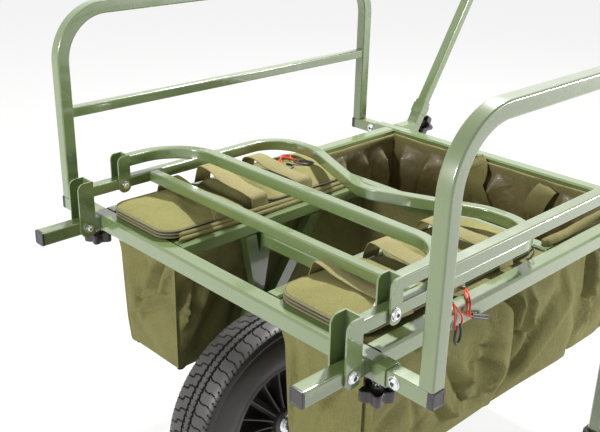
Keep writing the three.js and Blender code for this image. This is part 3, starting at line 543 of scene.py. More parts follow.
def turned(name, profile, centre, axis, finish, body, count=36, crease=35, facing=None):
    """A turned piece. Each step of its profile is a reach, or a function of the angle, and a height."""
    axis = axis.normalized()
    right = (facing - axis * facing.dot(axis) if facing else axis.orthogonal()).normalized()
    ahead = axis.cross(right)
    rings = []
    for reach, height in profile:
        ring = []
        for k in range(count):
            angle = math.tau * k / count
            radius = reach(angle) if callable(reach) else reach
            out = right * math.cos(angle) + ahead * math.sin(angle)
            ring.append(centre + (axis * height + out * radius) * MM)
        rings.append(ring)
    return piece(name, loft(rings), finish, body, crease)


def screw(name, seat, axis, body):
    head = SCREW_HEAD - 1.4
    profile = [(SCREW_HEAD, 0), (SCREW_HEAD, 0.9), (head, 1.1), (head, 1.9), (head * 0.93, 3.2)]
    profile += [(head * 0.74, 4.4), (head * 0.56, SCREW_HEIGHT), (hexagon(SOCKET), SCREW_HEIGHT - 0.4)]
    profile += [(hexagon(SOCKET * 0.96), 2.2), (1.0, 1.6)]
    turned(name, profile, seat, axis, ZINC, body)
    # The socket's floor in dark steel is painted shade: the real socket is bright zinc like the head, dark
    # only from the shade deep inside it.
    floor = [(hexagon(SOCKET * 0.99), 1.9), (hexagon(SOCKET * 0.99), 4.0), (hexagon(SOCKET * 0.5), 3.2)]
    turned(name + "_socket_shade", floor, seat, axis, DARK_STEEL_AND_SHADE, body)


def nut(name, seat, axis, body):
    flat = hexagon(NUT)
    chamfer = [(lambda angle: min(flat(angle), NUT * 0.535), 0), (flat, 0.6), (flat, NUT_HEIGHT - 0.7)]
    chamfer += [(lambda angle: min(flat(angle), NUT * 0.52), NUT_HEIGHT), (4.4, NUT_HEIGHT)]
    chamfer += [(4.0, NUT_HEIGHT + 0.2), (4.0, NUT_HEIGHT + THREAD_END), (3.2, NUT_HEIGHT + THREAD_END + 0.6)]
    turned(name, chamfer, seat, axis, ZINC, body)


PIVOT_GRIPS = {"gate": (-27, RAIL_MIDDLE, 16.3, "frame"), "platform": (54, GATE_HEIGHT, 13.8, "gate")}
STOP_SCREW_OUT = 378
for side, sign in SIDES.items():
    out = ACROSS * sign
    for rack, (back, above, grip, body) in PIVOT_GRIPS.items():
        screw(f"{rack}_pivot_screw_{side}", spot(back, sign * (SIDE_RAIL + grip), above), out, body)
        nut(f"{rack}_pivot_nut_{side}", spot(back, sign * (SIDE_RAIL - grip), above), -out, body)
    for end, x in ENDS.items():
        seat = spot(x - BASE_TUBE / 2, sign * STOP_SCREW_OUT, RAIL_MIDDLE)
        screw(f"stop_screw_{end}_{side}", seat, FORWARD, f"side_bar_{side}")


# Star knobs: black moulded heads with five blunt points, hollow on the side of the stud, with a rib to
# each point. Each turns a zinc stud in a nut that is welded under its tube.
KNOB_RADIUS, KNOB_WAIST, KNOB_POINTS = 25.5, 17, 5
KNOB_TOP, KNOB_BOTTOM, KNOB_STUD = 15.8, 33.5, 6.2


def star(share):
    def reach(angle):
        point = abs(math.cos(KNOB_POINTS * angle / 2)) ** 2.2
        return share * (KNOB_WAIST + (KNOB_RADIUS - KNOB_WAIST) * point)
    return reach


def star_knob(name, nut_name, seat, axis, carrier, facing):
    hollow = [(KNOB_STUD, 13.5), (8.6, 13.8), (9, 25), (star(0.5), 25.5), (star(0.84), 25)]
    hollow += [(star(0.89), KNOB_TOP)]
    outside = [(star(0.96), KNOB_TOP), (star(1), KNOB_TOP + 0.8), (star(1), KNOB_BOTTOM - 2.4)]
    bottom = [(star(0.96), KNOB_BOTTOM - 0.8), (star(0.88), KNOB_BOTTOM), (star(0.4), KNOB_BOTTOM)]
    knob = turned(name + "_head", hollow + outside + bottom, seat, axis, BLACK_PLASTIC, name, 120, 34, facing)
    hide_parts(name)
    ahead = (facing - axis * facing.dot(axis)).normalized()
    for k in range(KNOB_POINTS):
        out = Matrix.Rotation(math.tau * k / KNOB_POINTS, 3, axis) @ ahead
        side_way = axis.cross(out)
        rings = [[seat + (out * reach + side_way * a + axis * (KNOB_TOP + 6 + b)) * MM
                  for a, b in rounded_square(1.6, 0.5, 2, 10)] for reach in (8, KNOB_RADIUS * 0.9)]
        piece(f"{name}_rib_{k + 1}", loft(rings), BLACK_PLASTIC, name)
    stud = [(4, -2), (4, 6.8), (KNOB_STUD - 0.8, 7), (KNOB_STUD - 0.2, 7.8), (KNOB_STUD - 0.2, 14.5)]
    turned(name + "_stud", stud, seat, axis, ZINC, name, 28)
    flat = hexagon(NUT + 0.5)
    welded = [(flat, 0.1), (flat, NUT_HEIGHT - 0.5), (lambda angle: flat(angle) * 0.94, NUT_HEIGHT + 0.1)]
    turned(nut_name, welded + [(4.3, NUT_HEIGHT + 0.1)], seat, axis, ZINC, carrier, 36)


KNOB_OUT, RAIL_UNDER = 340, 30
LEG_BACK, LEG_KNOB_OUT, LEG_KNOB_ABOVE = 761, 15, -135
HANDLE_KNOB_BACK, HANDLE_KNOB_ABOVE = 904.87, -5.42
HANDLE_KNOB_AXIS = Vector((-0.848048, 0, -0.529919))
KNOB_TURN = Vector((1, 1, 0))
for side, sign in SIDES.items():
    for end, x in ENDS.items():
        star_knob(f"side_bar_knob_{end}_{side}", f"welded_nut_{end}_{side}",
                  spot(x, sign * KNOB_OUT, -RAIL_UNDER), -UP, "frame", KNOB_TURN)
    star_knob(f"leg_knob_{side}", f"welded_nut_leg_{side}",
              spot(LEG_BACK, sign * (SIDE_RAIL + LEG_KNOB_OUT), LEG_KNOB_ABOVE), ACROSS * sign, "frame", UP)
    star_knob(f"handle_knob_{side}", f"welded_nut_handle_{side}",
              spot(HANDLE_KNOB_BACK, sign * SIDE_RAIL, HANDLE_KNOB_ABOVE), HANDLE_KNOB_AXIS, "frame", ACROSS)

finish_nodes(["leg_foot_left", "leg_foot_right"], GRIP_RUBBER, 2)


# Wheel: a tyre with a centre rib between two grooves and wavy cuts out to both shoulders,
# on a black moulded rim with sixteen thin blades, turning on two ball bearings and a steel axle.
WHEEL_MIDDLE = spot(134, 0, -320)
TYRE_RADIUS, TREAD_HALF, TREAD_FOOT, TYRE_STEPS, TREAD_PITCHES = 195, 41.6, 186.5, 960, 60
GROOVE_PLACE, GROOVE_HALF, GROOVE_DEPTH, CUT_DEPTH = 8.2, 1.9, 6.2, 4.2
# The half section's radius and width, from the bead over the sidewall to the shoulder
SIDEWALL = [(108.5, 29), (109, 33), (112, 37.5), (116, 40.6), (117.5, 40.9), (119, 41.9), (128, 44.8)]
SIDEWALL += [(138, 46.3), (150, 46.9), (160, 46.8), (168, 46.2), (174, 45.4), (178.5, 44.5), (180, 45.4)]
SIDEWALL += [(182.2, 45.4), (184, 43.8), (187.5, 42.8), (190.2, TREAD_HALF)]


def crown(width):
    """The radius of the tread's face at a width from the tyre's middle."""
    share = np.abs(width) / TREAD_HALF
    return TYRE_RADIUS - 1.9 * share ** 2 - 2.9 * share ** 8


def tread_cut(angle, width):
    """How deep the tread is cut, from 0 to 1 each for the grooves and the cross cuts."""
    side = np.where(width > 0, 0.0, 0.5)
    turn = angle * TREAD_PITCHES / math.tau + side
    out = (np.abs(width) - GROOVE_PLACE) / (TREAD_HALF - GROOVE_PLACE)
    zigzag = 0.6 * np.sign(np.sin(turn * math.tau * 2))
    groove = np.abs(np.abs(width) - GROOVE_PLACE - zigzag) < GROOVE_HALF
    wave = np.where(width > 0, 0.34 * out + 0.09 * np.sin(out * 6.8), 0.22 * out + 0.16 * np.sign(out - 0.45))
    whole = np.abs((turn + wave) % 1 - 0.5) < 0.04
    half = np.abs((turn + wave + 0.46) % 1 - 0.5) < 0.035
    step = (width < 0) & (np.abs(out - 0.45) < 0.03) & (np.abs((turn + 0.1) % 1 - 0.5) < 0.17)
    cross = (out > 0) & (whole | (half & (out > 0.86)) | step)
    rib = (out < 0) & (np.abs(turn * 2 % 1 - 0.5) < 0.09) & (np.abs(width) > 3.4)
    return groove, cross | rib


def tyre_skin():
    tread = np.linspace(TREAD_HALF - 0.9, -(TREAD_HALF - 0.9), 69)
    radius = [r for r, _ in SIDEWALL] + list(crown(tread)) + [r for r, _ in reversed(SIDEWALL)]
    width = [w for _, w in SIDEWALL] + list(tread) + [-w for _, w in reversed(SIDEWALL)]
    radius, width = np.array(radius, float), np.array(width, float)
    angle = np.linspace(0, math.tau, TYRE_STEPS, endpoint=False)
    reach = np.tile(radius, (TYRE_STEPS, 1))
    groove, cross = tread_cut(angle[:, None], width[None, :])
    on_tread = (radius > TREAD_FOOT) & (np.abs(width) < TREAD_HALF + 0.1)
    reach -= np.where(on_tread & groove, GROOVE_DEPTH, np.where(on_tread & cross, CUT_DEPTH, 0))
    x = WHEEL_MIDDLE.x + reach * np.cos(angle)[:, None] * MM
    z = WHEEL_MIDDLE.z + reach * np.sin(angle)[:, None] * MM
    y = np.tile(width * MM, (TYRE_STEPS, 1))
    return loft([[Vector(p) for p in zip(*ring)] for ring in zip(x.tolist(), y.tolist(), z.tolist())], True)


# The tread's face falls by this share of the width squared, and is dusty grey between these reaches, in
# metres; in the grooves and cuts below them the dark sidewall colour is painted shade
CROWN_FALL, DUST_AND_GROOVE_SHADE_REACH = 1.2, (0.1895, 0.1925)


def tyre_finish():
    tyre = Finish("tyre_rubber", "tyre", {"Specular IOR Level": 0.4})
    x, y, z = tyre.parts(tyre.place())
    x, z = x - WHEEL_MIDDLE.x, z - WHEEL_MIDDLE.z
    reach = (x * x + z * z).root()
    # Dusty grey on the tread's face, and painted shade in the grooves and cuts, which keep the dark sidewall
    # colour.
    dust_and_groove_shade = tyre.step(reach + y * y * CROWN_FALL, *DUST_AND_GROOVE_SHADE_REACH)
    dust = tyre.noise(16, 4, 0.6)
    grey = tyre.mix(dust, colour(50, 48, 47), colour(78, 75, 73))
    side = tyre.mix(tyre.noise(60, 3), colour(34, 30, 28), colour(46, 40, 37))
    tyre.give("Base Color", tyre.mix(dust_and_groove_shade, side, grey))
    tyre.give("Roughness", 0.34 + dust * 0.22)
    tyre.give("Normal", tyre.bump(tyre.noise(1.4, 3), 0.08))
    return tyre


tyre = piece("tyre_with_tread", tyre_skin(), tyre_finish(), "wheel", 34)
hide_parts("tyre")

# Half sections of the rim and the hub, by radius and width
RIM_SECTION = [(104.2, 35.2), (104.6, 36), (110, 36), (111, 35.2), (111, 33.8), (109.4, 32.6), (106, 30.6)]
RIM_SECTION += [(102, 25), (98.6, 18)]
RIM_INSIDE = [(94, 21), (96, 26), (100.2, 31), (103, 33.4)]
HUB_SECTION = [(18.3, 46), (24.4, 46), (25.4, 45.5), (26.4, 44), (27, 41), (27.4, 30), (28.4, 12)]


def circle(count):
    """The cosine and sine of as many steps round a circle."""
    return [(math.cos(math.tau * k / count), math.sin(math.tau * k / count)) for k in range(count)]


def rim_ring(name, half, inside, count):
    """A ring turned from a half section, mirrored, and closed through its inside."""
    section = half + [(r, -w) for r, w in reversed(half)] + [(r, -w) for r, w in reversed(inside)] + inside
    rings = [[WHEEL_MIDDLE + ((FORWARD * a + UP * b) * r + ACROSS * w) * MM for r, w in section]
             for a, b in circle(count)]
    return piece(name, loft(rings, True), BLACK_PLASTIC, "wheel", 32)


rim = rim_ring("rim_barrel", RIM_SECTION, RIM_INSIDE[::-1], 144)
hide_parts("rim")
rim_ring("wheel_hub", HUB_SECTION, [(18.3, 44)], 48)
BLADES, BLADE_ROOT, BLADE_TIP = 16, 24, 98
for k, (a, b) in enumerate(circle(BLADES)):
    out = FORWARD * a + UP * b
    side_way = UP * a - FORWARD * b
    rings = []
    for share in np.linspace(0, 1, 9):
        middle = WHEEL_MIDDLE + out * (BLADE_ROOT + (BLADE_TIP - BLADE_ROOT) * share) * MM
        wide = 72 - 34 * share + 8 * (2 * share - 1) ** 4
        thick = 4.6 - 1.2 * math.sin(math.pi * share)
        section = rounded_square(thick, thick * 0.4, 3, wide)
        rings.append([middle + side_way * c + ACROSS * d for c, d in section])
    piece(f"rim_blade_{k + 1:02d}", loft(rings), BLACK_PLASTIC, "wheel", 40)

finish_nodes(["wheel_axle", "wheel_bearing_left", "wheel_bearing_right"], ZINC, 0.4)


# Closed canvas bags: sewn from panels of coated olive canvas, hung by their tops between the rails.
# They are empty, so their walls are slack, folded and pulled about by the seams at the corners.
WEAVE = 1.6


def canvas_finish(name, slot, light, dark, folds=0.0):
    canvas = Finish(name, slot, {"Specular IOR Level": 0.2})
    waves = [part.wave(WEAVE * MM) for part in canvas.parts(canvas.place())]
    weave = waves[0] * waves[1] + waves[1] * waves[2] + waves[2] * waves[0]
    yarn = canvas.noise(2.2, 2, 0.7)
    patch = canvas.noise(70, 3)
    heather = yarn * 0.8 + patch * 0.4 + weave * 0.1 - 0.1
    canvas.give("Base Color", canvas.mix(canvas.step(heather, 0.25, 0.85), dark, light))
    canvas.give("Roughness", 0.82 + yarn * 0.12)
    fine = canvas.bump(weave * 0.35 + yarn * 0.6, 0.22)
    if folds:
        fine = canvas.bump(canvas.noise(34, 4, 0.5, 1.2), folds, fine)
    canvas.give("Normal", fine)
    return canvas


CANVAS = canvas_finish("olive_canvas", "canvas", colour(134, 131, 84), colour(94, 91, 52), 2.6)
SEAM_TAPE = canvas_finish("seam_canvas", "canvas", colour(132, 127, 82), colour(96, 91, 55))

# The spacing of places round a bag, its corners, and how far their seams stand out
BAG_STEP, BAG_CORNER, SEAM_STAND = 4.5, 7, 4.2
BAG_TOP, BAG_DEPTH, BASE_ROUND = 6, 258, 12
BAG_FRONT, BAG_SEAM, BAG_BACK, BAG_INNER, BAG_OUTER = 31, 339, 499, 129.6, 302.4
# How far a wall leans in at its foot, and how far an outer wall swells
BAG_TAPER = {"left": 30, "right": 24}
OUTER_BULGE = {"left": 15, "right": 1}
# The front left bag's rear edge laps over the middle bag: how far, and how far its wall stands out there
SEAM_LAP, LAP_STAND, LAP_START, LAP_FULL = 17, 11, 264, 306
# The middle left bag's front edge is drawn in behind that lap
TUCK, TUCK_FULL, TUCK_END = 15, 46, 88
# The middle left bag's rear edge laps over the rear bag: how far at its top, how much more at its foot, the
# waves along the edge and the length of their turn, and how far the wall stands out there
REAR_LAP, REAR_LAP_SPREAD, REAR_LAP_WAVE, REAR_LAP_TURN, REAR_LAP_STAND = 36, 52, 4, 13, 6
# How long before the edges the two laps begin, and how near the outer corner
SEAM_LAP_BLEND, REAR_LAP_BLEND, LAP_CORNER = 60, 70, 12
# A wall is drawn in over this height above its foot, and its folds fade out between two heights above it
FOOT_DRAWN, FOOT_HEIGHT = 3.0, 60
CALM_SHARE, CALM_START, CALM_FULL = 0.95, 56, 16
FOLD_GAIN = 1.7
# The base's rows: turns round its edge, and shares of the way out from its middle
BASE_TURNS, BASE_SHARES = (0.25, 0.5, 0.75, 1.0), (0.92, 0.8, 0.6, 0.4, 0.2)


def ease(value, low, high):
    share = min(1.0, max(0.0, (value - low) / (high - low)))
    return share * share * (3 - 2 * share)


def fold(u, v, line):
    """One fold of a wall along a line, raised or sunk by its depth, sharp on one flank."""
    u0, v0, u1, v1, width, depth = line
    along = ((u - u0) * (u1 - u0) + (v - v0) * (v1 - v0)) / ((u1 - u0) ** 2 + (v1 - v0) ** 2)
    along = max(0.0, min(1.0, along))
    du, dv = u - u0 - along * (u1 - u0), v - v0 - along * (v1 - v0)
    away = math.hypot(du, dv)
    flank = 0.55 if du * (v1 - v0) - dv * (u1 - u0) > 0 else 1.25
    fade = 0.3 + 0.7 * math.sin(math.pi * (0.12 + 0.76 * along))
    return FOLD_GAIN * depth * fade * math.exp(-((away / (width * flank)) ** 1.3))


# Folds by bag and wall. Each runs from one place to another, both across from the wall's front or outer
# end and down from the deck's top, and has a width and a depth.
FOLDS = {
    ("front", "left", "outer"): [
        (230, 96, 300, 122, 7, -6), (208, 150, 236, 206, 7, -7), (176, 176, 214, 214, 9, 7),
        (258, 120, 226, 168, 8, 7), (284, 190, 300, 226, 6, -9), (178, 112, 212, 160, 11, -6),
        (236, 126, 284, 140, 9, -6), (280, 138, 306, 172, 12, 8), (250, 206, 306, 248, 12, -13),
        (296, 176, 262, 206, 8, 8), (60, 60, 96, 170, 30, 6), (120, 190, 40, 238, 22, -6),
        (140, 50, 170, 110, 20, -5), (10, 150, 70, 110, 16, -5), (240, 60, 300, 110, 18, 5),
        (150, 150, 176, 196, 9, -7), (196, 206, 240, 190, 10, 5), (212, 120, 250, 176, 12, 5),
        (90, 120, 120, 190, 14, -5), (270, 60, 262, 190, 22, -3),
    ],
    ("front", "left", "front"): [(20, 60, 90, 160, 16, -7), (120, 90, 60, 200, 22, 7),
    (150, 60, 165, 200, 12, -5)],
    ("front", "right", "front"): [
        (152, 30, 96, 122, 8, -13), (164, 50, 134, 112, 10, 8), (44, 158, 150, 106, 6, -7),
        (60, 170, 150, 122, 7, 8), (96, 122, 52, 138, 7, -6), (52, 138, 30, 196, 7, -6),
        (118, 50, 74, 118, 8, 6), (70, 60, 96, 96, 9, -5), (70, 196, 150, 150, 20, 5),
        (20, 60, 40, 220, 26, 4), (90, 246, 20, 196, 12, -4), (84, 146, 60, 190, 9, 5),
    ],
    ("front", "right", "inner"): [
        (10, 40, 40, 92, 8, 9), (26, 30, 44, 100, 7, -8), (44, 100, 96, 70, 8, -7),
        (30, 104, 14, 160, 8, 8), (96, 120, 150, 96, 9, -9), (118, 150, 146, 120, 8, 7),
        (128, 120, 44, 228, 17, -11), (40, 74, 16, 122, 11, -8), (86, 70, 30, 190, 18, 8),
        (150, 160, 124, 215, 12, -8), (8, 108, 60, 150, 9, -4),
    ],
    ("middle", "left", "outer"): [
        (30, 10, 34, 238, 15, -20), (38, 118, 92, 134, 6, -8), (150, 110, 84, 220, 18, 8),
        (132, 90, 66, 200, 8, -8), (40, 214, 26, 246, 10, -12), (92, 30, 84, 130, 14, 9),
        (110, 200, 132, 150, 14, -4), (68, 40, 62, 120, 9, 7), (150, 40, 140, 110, 10, -6),
    ],
}


def fabric_noise(seed, u, v):
    broad = noise.noise(Vector((u / 62, v / 120, seed * 7.3))) * 3.4
    fine = noise.noise(Vector((u / 21 + v / 40, v / 34, seed * 3.1 + 5))) * 0.9
    return broad + fine


def bag_plan(x0, x1, y0, y1):
    """The points round a bag's plan from its front outer corner, each with its wall and its place on it."""
    walls = [("outer", (x0, y1), (x1, y1), (0, 1)), ("rear", (x1, y1), (x1, y0), (1, 0)),
             ("inner", (x1, y0), (x0, y0), (0, -1)), ("front", (x0, y0), (x0, y1), (-1, 0))]
    points = []
    for wall, start, end, out in walls:
        length = abs(end[0] - start[0]) + abs(end[1] - start[1])
        along = ((end[0] - start[0]) / length, (end[1] - start[1]) / length)
        count = max(4, round((length - 2 * BAG_CORNER) / BAG_STEP))
        for k in range(count + 1):
            u = BAG_CORNER + (length - 2 * BAG_CORNER) * k / count
            points.append((start[0] + along[0] * u, start[1] + along[1] * u, out, wall, u, length))
        turn_x, turn_y = end[0] - along[0] * BAG_CORNER, end[1] - along[1] * BAG_CORNER
        centre = (turn_x - out[0] * BAG_CORNER, turn_y - out[1] * BAG_CORNER)
        for k in (1, 2, 3):
            turn = math.pi / 2 * k / 4
            way = [o * math.cos(turn) + a * math.sin(turn) for o, a in zip(out, along)]
            reach = BAG_CORNER + (SEAM_STAND if k == 2 else 0)
            points.append((centre[0] + way[0] * reach, centre[1] + way[1] * reach, way, wall, length, length))
    return points


def wall_push(seed, v, place, folds, give_ends, fold_ends, rough=1.0):
    """How far along its wall a place is, and how far the cloth's waves and folds push it out."""
    wall, u, length = place[3:]
    own = u if wall in ("outer", "rear") else length - u
    away = min(u, length - u)
    push = fabric_noise(seed + len(wall), own, v) * ease(away, *give_ends) * rough
    return own, push + sum(fold(own, v, line) for line in folds) * ease(away, *fold_ends)


def calm(v, depth):
    """How much of its folds a wall keeps on the way down to its foot."""
    return 1 - CALM_SHARE * ease(v, depth - CALM_START, depth - CALM_FULL)


def belly(v, depth):
    """How far a wall has swelled at a depth, from its top to its foot."""
    return math.sin(math.pi * min(1, v / depth)) ** 0.7


def slack_base(edge, plan, sign, seed, turns, shares, sag, lump, rise):
    """Rings round a bag's lower edge and in over its base, which sags and ripples."""
    rings = []
    for turn in turns:
        inward = BASE_ROUND * (1 - math.cos(math.pi / 2 * turn))
        drop = BASE_ROUND * math.sin(math.pi / 2 * turn)
        rings.append([spot(x - out[0] * inward, sign * (y - out[1] * inward), -(v + drop))
                      for (x, y, v), (_, _, out, *_) in zip(edge, plan)])
    last = rings[-1]
    base = sum(last, Vector()) / len(last)
    for share in shares:
        ring = []
        for corner in last:
            p = base.lerp(corner, share)
            ripple = noise.noise(Vector((p.x * lump, p.y * lump, seed))) * rise
            ring.append(Vector((p.x, p.y, p.z - (sag * (1 - share ** 2) - ripple) * MM)))
        rings.append(ring)
    return rings


def bag_place(bag, side, seed, v, place, x1, y0, y1):
    """Where a place of a closed bag's plan has moved to at a depth."""
    x, y, out, wall, *_ = place
    folds = FOLDS.get((bag, side, wall), [])
    own, push = wall_push(seed, v, place, folds, (2, 26), (-6, 14))
    slack = ease(v, RAIL_UNDER - 2, RAIL_UNDER + 45)
    outer = wall == "outer"
    if side == "left" and bag == "middle" and outer:
        push -= TUCK * (1 - ease(own, TUCK_FULL, TUCK_END))
    push *= calm(v, BAG_DEPTH)
    push += OUTER_BULGE[side] * outer * belly(v, BAG_DEPTH)
    push -= FOOT_DRAWN * ease(v, BAG_DEPTH - FOOT_HEIGHT, BAG_DEPTH)
    if side == "left" and bag == "front":
        lapped = ease(x, x1 - SEAM_LAP_BLEND, x1) * ease(y, y1 - LAP_CORNER, y1)
        x += SEAM_LAP * (0.75 + 0.5 * v / BAG_DEPTH) * lapped * slack
        stand = LAP_STAND * ease(own, LAP_START, LAP_FULL) * outer
        push += stand * (1 - ease(v, BAG_DEPTH - 70, BAG_DEPTH - 14))
    push *= slack
    if side == "left" and bag == "middle":
        lapped = ease(x, x1 - REAR_LAP_BLEND, x1) * ease(y, y1 - LAP_CORNER, y1)
        lapped *= ease(v, RAIL_UNDER - 2, RAIL_UNDER + 10)
        reach = REAR_LAP + REAR_LAP_SPREAD * v / BAG_DEPTH + REAR_LAP_WAVE * math.sin(v / REAR_LAP_TURN)
        x += reach * lapped
        push += REAR_LAP_STAND * lapped * outer
    inset = BAG_TAPER[side] * slack * (0.4 + 0.6 * v / BAG_DEPTH)
    share = (y - y0) / (y1 - y0)
    y += inset * (1 - share if side == "left" else -share)
    return x + out[0] * push, y + out[1] * push, v


def bag_skin(bag, side, x0, x1, y0, y1):
    """A closed bag's skin: flat top between the rails, slack walls, and a base that sags."""
    sign = SIDES[side]
    plan = bag_plan(x0, x1, y0, y1)
    seed = len(bag) + (3 if side == "right" else 0)
    depths = [BAG_TOP + (RAIL_UNDER - BAG_TOP) * k / 4 for k in range(4)]
    depths += [RAIL_UNDER + (BAG_DEPTH - BASE_ROUND - RAIL_UNDER) * k / 44 for k in range(45)]
    mx, my = (x0 + x1) / 2, (y0 + y1) / 2
    rings = [[spot(mx + (x - mx) * share, sign * (my + (y - my) * share), -BAG_TOP) for x, y, *_ in plan]
             for share in (0.25, 0.6, 0.9)]
    for v in depths:
        edge = [bag_place(bag, side, seed, v, place, x1, y0, y1) for place in plan]
        rings.append([spot(x, sign * y, -v) for x, y, _ in edge])
    return loft(rings + slack_base(edge, plan, sign, seed, BASE_TURNS, BASE_SHARES, 9, 22, 2.2))


for side in SIDES:
    for bag, x0, x1 in (("front", BAG_FRONT, BAG_SEAM - 0.4), ("middle", BAG_SEAM + 0.4, BAG_BACK)):
        skin = bag_skin(bag, side, x0, x1, BAG_INNER, BAG_OUTER)
        made = piece(f"{bag}_canvas_bag_{side}", skin, CANVAS, "frame", 60)
        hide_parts(f"{bag}_bag_{side}")


# Padded lids: canvas over foam, one for each opening of the closed bags, with round corners.
# A zip band with three rows of piping runs round each lid, and a webbing handle arches over it.
def rounded_plan(x0, x1, y0, y1, corner, step=5.0):
    """Points round a rectangle with round corners, and the way out from each."""
    points = []
    middles = [((x1 - corner, y1 - corner), 0), ((x0 + corner, y1 - corner), 1),
               ((x0 + corner, y0 + corner), 2), ((x1 - corner, y0 + corner), 3)]
    spans = [x1 - x0 - 2 * corner, y1 - y0 - 2 * corner]
    for index, (middle, quarter) in enumerate(middles):
        arc = max(5, round(corner * math.pi / 2 / step))
        for k in range(arc + 1):
            turn = (quarter + k / arc) * math.pi / 2
            way = (math.cos(turn), math.sin(turn))
            points.append((middle[0] + way[0] * corner, middle[1] + way[1] * corner, way))
        turn = (quarter + 1) * math.pi / 2
        way = (math.cos(turn), math.sin(turn))
        along = (-way[1], way[0])
        count = round(spans[index % 2] / step)
        start = points[-1]
        for k in range(1, count):
            reach = spans[index % 2] * k / count
            points.append((start[0] + along[0] * reach, start[1] + along[1] * reach, way))
    return points


LID_CORNER = 34
LID_CLOTH = canvas_finish("lid_canvas", "lid_cloth", colour(148, 144, 90), colour(112, 108, 64), 1.8)
ZIP_TAPE = canvas_finish("zip_tape", "lid_cloth", colour(96, 92, 74), colour(62, 58, 46))
PIPING = canvas_finish("piping_canvas", "lid_cloth", colour(142, 138, 106), colour(108, 104, 78))
# The band's section: how far it stands out from the lid's plan, and its height over the bag's top
BAND_TOP = 15.4
BAND = [(-6, 0), (-1.6, 0.2), (-1, 4.8), (-2, 5), (-2, 6.4), (-1, 6.6), (-1, 9.6), (-2, 9.8), (-2, 11.2)]
BAND += [(-1, 11.4), (-1.4, 15.2), (-6, BAND_TOP)]
PIPING_HEIGHTS, PIPING_RADIUS = (2.4, 8.1, 13.6), 2.1
# The pad's rows, by their share of the way from the rim to the middle. The first two are tucked under.
PAD_ROWS = [-0.06, -0.02, 0.0, 0.02, 0.06, 0.12, 0.2, 0.3, 0.42, 0.56, 0.7, 0.84, 0.95]


def lid_rise(share, x, y, seed):
    """How far the cloth stands over the zip, at a share of the way from the rim to the middle."""
    pad = 11 * (1 - (1 - share) ** 2.4)
    wave = noise.noise(Vector((x / 46, y / 60, seed))) * 5
    wave += noise.noise(Vector((x / 17, y / 25, seed + 9))) * 1.4
    return pad + wave * min(1, share * 3)


def lid_tilt(x, y, seed):
    return noise.noise(Vector((x / 80, y / 80, seed))) * 1.2


def make_lid(name, node, x0, x1, y0, y1, base, side, seed):
    sign = SIDES[side]
    plan = [(x, y, way, lid_tilt(x, y, seed)) for x, y, way in rounded_plan(x0, x1, y0, y1, LID_CORNER)]

    def ring(out, above):
        return [spot(x + way[0] * out, sign * (y + way[1] * out), above + tilt) for x, y, way, tilt in plan]

    band = [ring(stand, base + height) for stand, height in BAND]
    piece(name + "_zip_band", loft(band), ZIP_TAPE, "frame", 50)
    for number, height in enumerate(PIPING_HEIGHTS):
        rings = [ring(PIPING_RADIUS * a - 0.6, base + height + PIPING_RADIUS * 0.8 * b) for a, b in circle(8)]
        piece(f"{name}_piping_{number + 1}", loft(rings, True), PIPING, "frame", 60)
    middle = ((x0 + x1) / 2, (y0 + y1) / 2)
    rings = []
    for share in PAD_ROWS:
        tucked = share < -0.03
        drawn = 8.2 if tucked else 2.2
        s = max(0.0, share)
        points = []
        for x, y, way, _ in plan:
            ex, ey = x - way[0] * drawn, y - way[1] * drawn
            px, py = ex + (middle[0] - ex) * s, ey + (middle[1] - ey) * s
            lift = lid_rise(s, px, py, seed) if share >= 0 else (-3 if tucked else -1)
            points.append(spot(px, sign * py, base + BAND_TOP + lid_tilt(x, y, seed) * (1 - s) + lift))
        rings.append(points)
    top = piece(name + "_pad", loft(rings), LID_CLOTH, "frame", 60)
    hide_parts(node)


# Each lid: how far back it starts and ends, how far out from the middle, and its foot over the deck
LIDS = {
    ("front", "left"): (24, 203, 128, 292, 0),
    ("front", "right"): (19, 203, 133, 304, 0.5),
    ("middle", "left"): (244, 474, 128, 284, -7),
    ("middle", "right"): (240, 476, 133, 304, 0.5),
}
for (bag, side), (x0, x1, y0, y1, base) in LIDS.items():
    seed = len(bag) * 3 + len(side)
    make_lid(f"{bag}_lid_{side}", f"{bag}_bag_lid_{side}", x0, x1, y0, y1, base, side, seed)


# The canvas puffs up between two lids, under the middle strap: how far back, its ends and its rise there
NECKS = {"right": (222, 303, 133, 33), "left": (224, 286, 130, 20)}
NECK_HALF, NECK_ROWS, NECK_FOOT = 24, 18, -5
for side, (back, outer, inner, rise) in NECKS.items():
    rings = []
    for k in range(NECK_ROWS + 1):
        share = k / NECK_ROWS
        y = SIDES[side] * (outer + (inner - outer) * share)
        puff = rise * (1 - (2 * share - 1) ** 6) + noise.noise(Vector((k * 0.6, back, 1))) * 2.5
        rings.append([spot(back + NECK_HALF * math.cos(math.pi * j / 9), y,
                           NECK_FOOT + max(0.5, puff) * math.sin(math.pi * j / 9)) for j in range(10)])
    piece(f"bag_neck_{side}", loft(rings), CANVAS, "frame", 60)


# Webbing: 38 mm cotton tape, in one arch over each lid and one between them, sewn down at both ends.
# The tape is ribbed across, and each end turns down beside the lid.
WEBBING_WIDTH, WEBBING_THICK = 38, 1.8


def webbing_finish():
    webbing = Finish("cotton_webbing", "canvas", {"Specular IOR Level": 0.25})
    x, y, z = webbing.parts(webbing.place())
    across = x.wave(3.2 * MM)
    along = (y + z).wave(2.4 * MM)
    weave = across * 0.7 + along * across * 0.3
    yarn = webbing.noise(2, 2)
    tone = webbing.step(weave * 0.25 + yarn, 0.2, 0.9)
    webbing.give("Base Color", webbing.mix(tone, colour(122, 115, 76), colour(160, 152, 106)))
    webbing.give("Roughness", 0.78 + yarn * 0.15)
    webbing.give("Normal", webbing.bump(weave, 0.35))
    return webbing


WEBBING = webbing_finish()


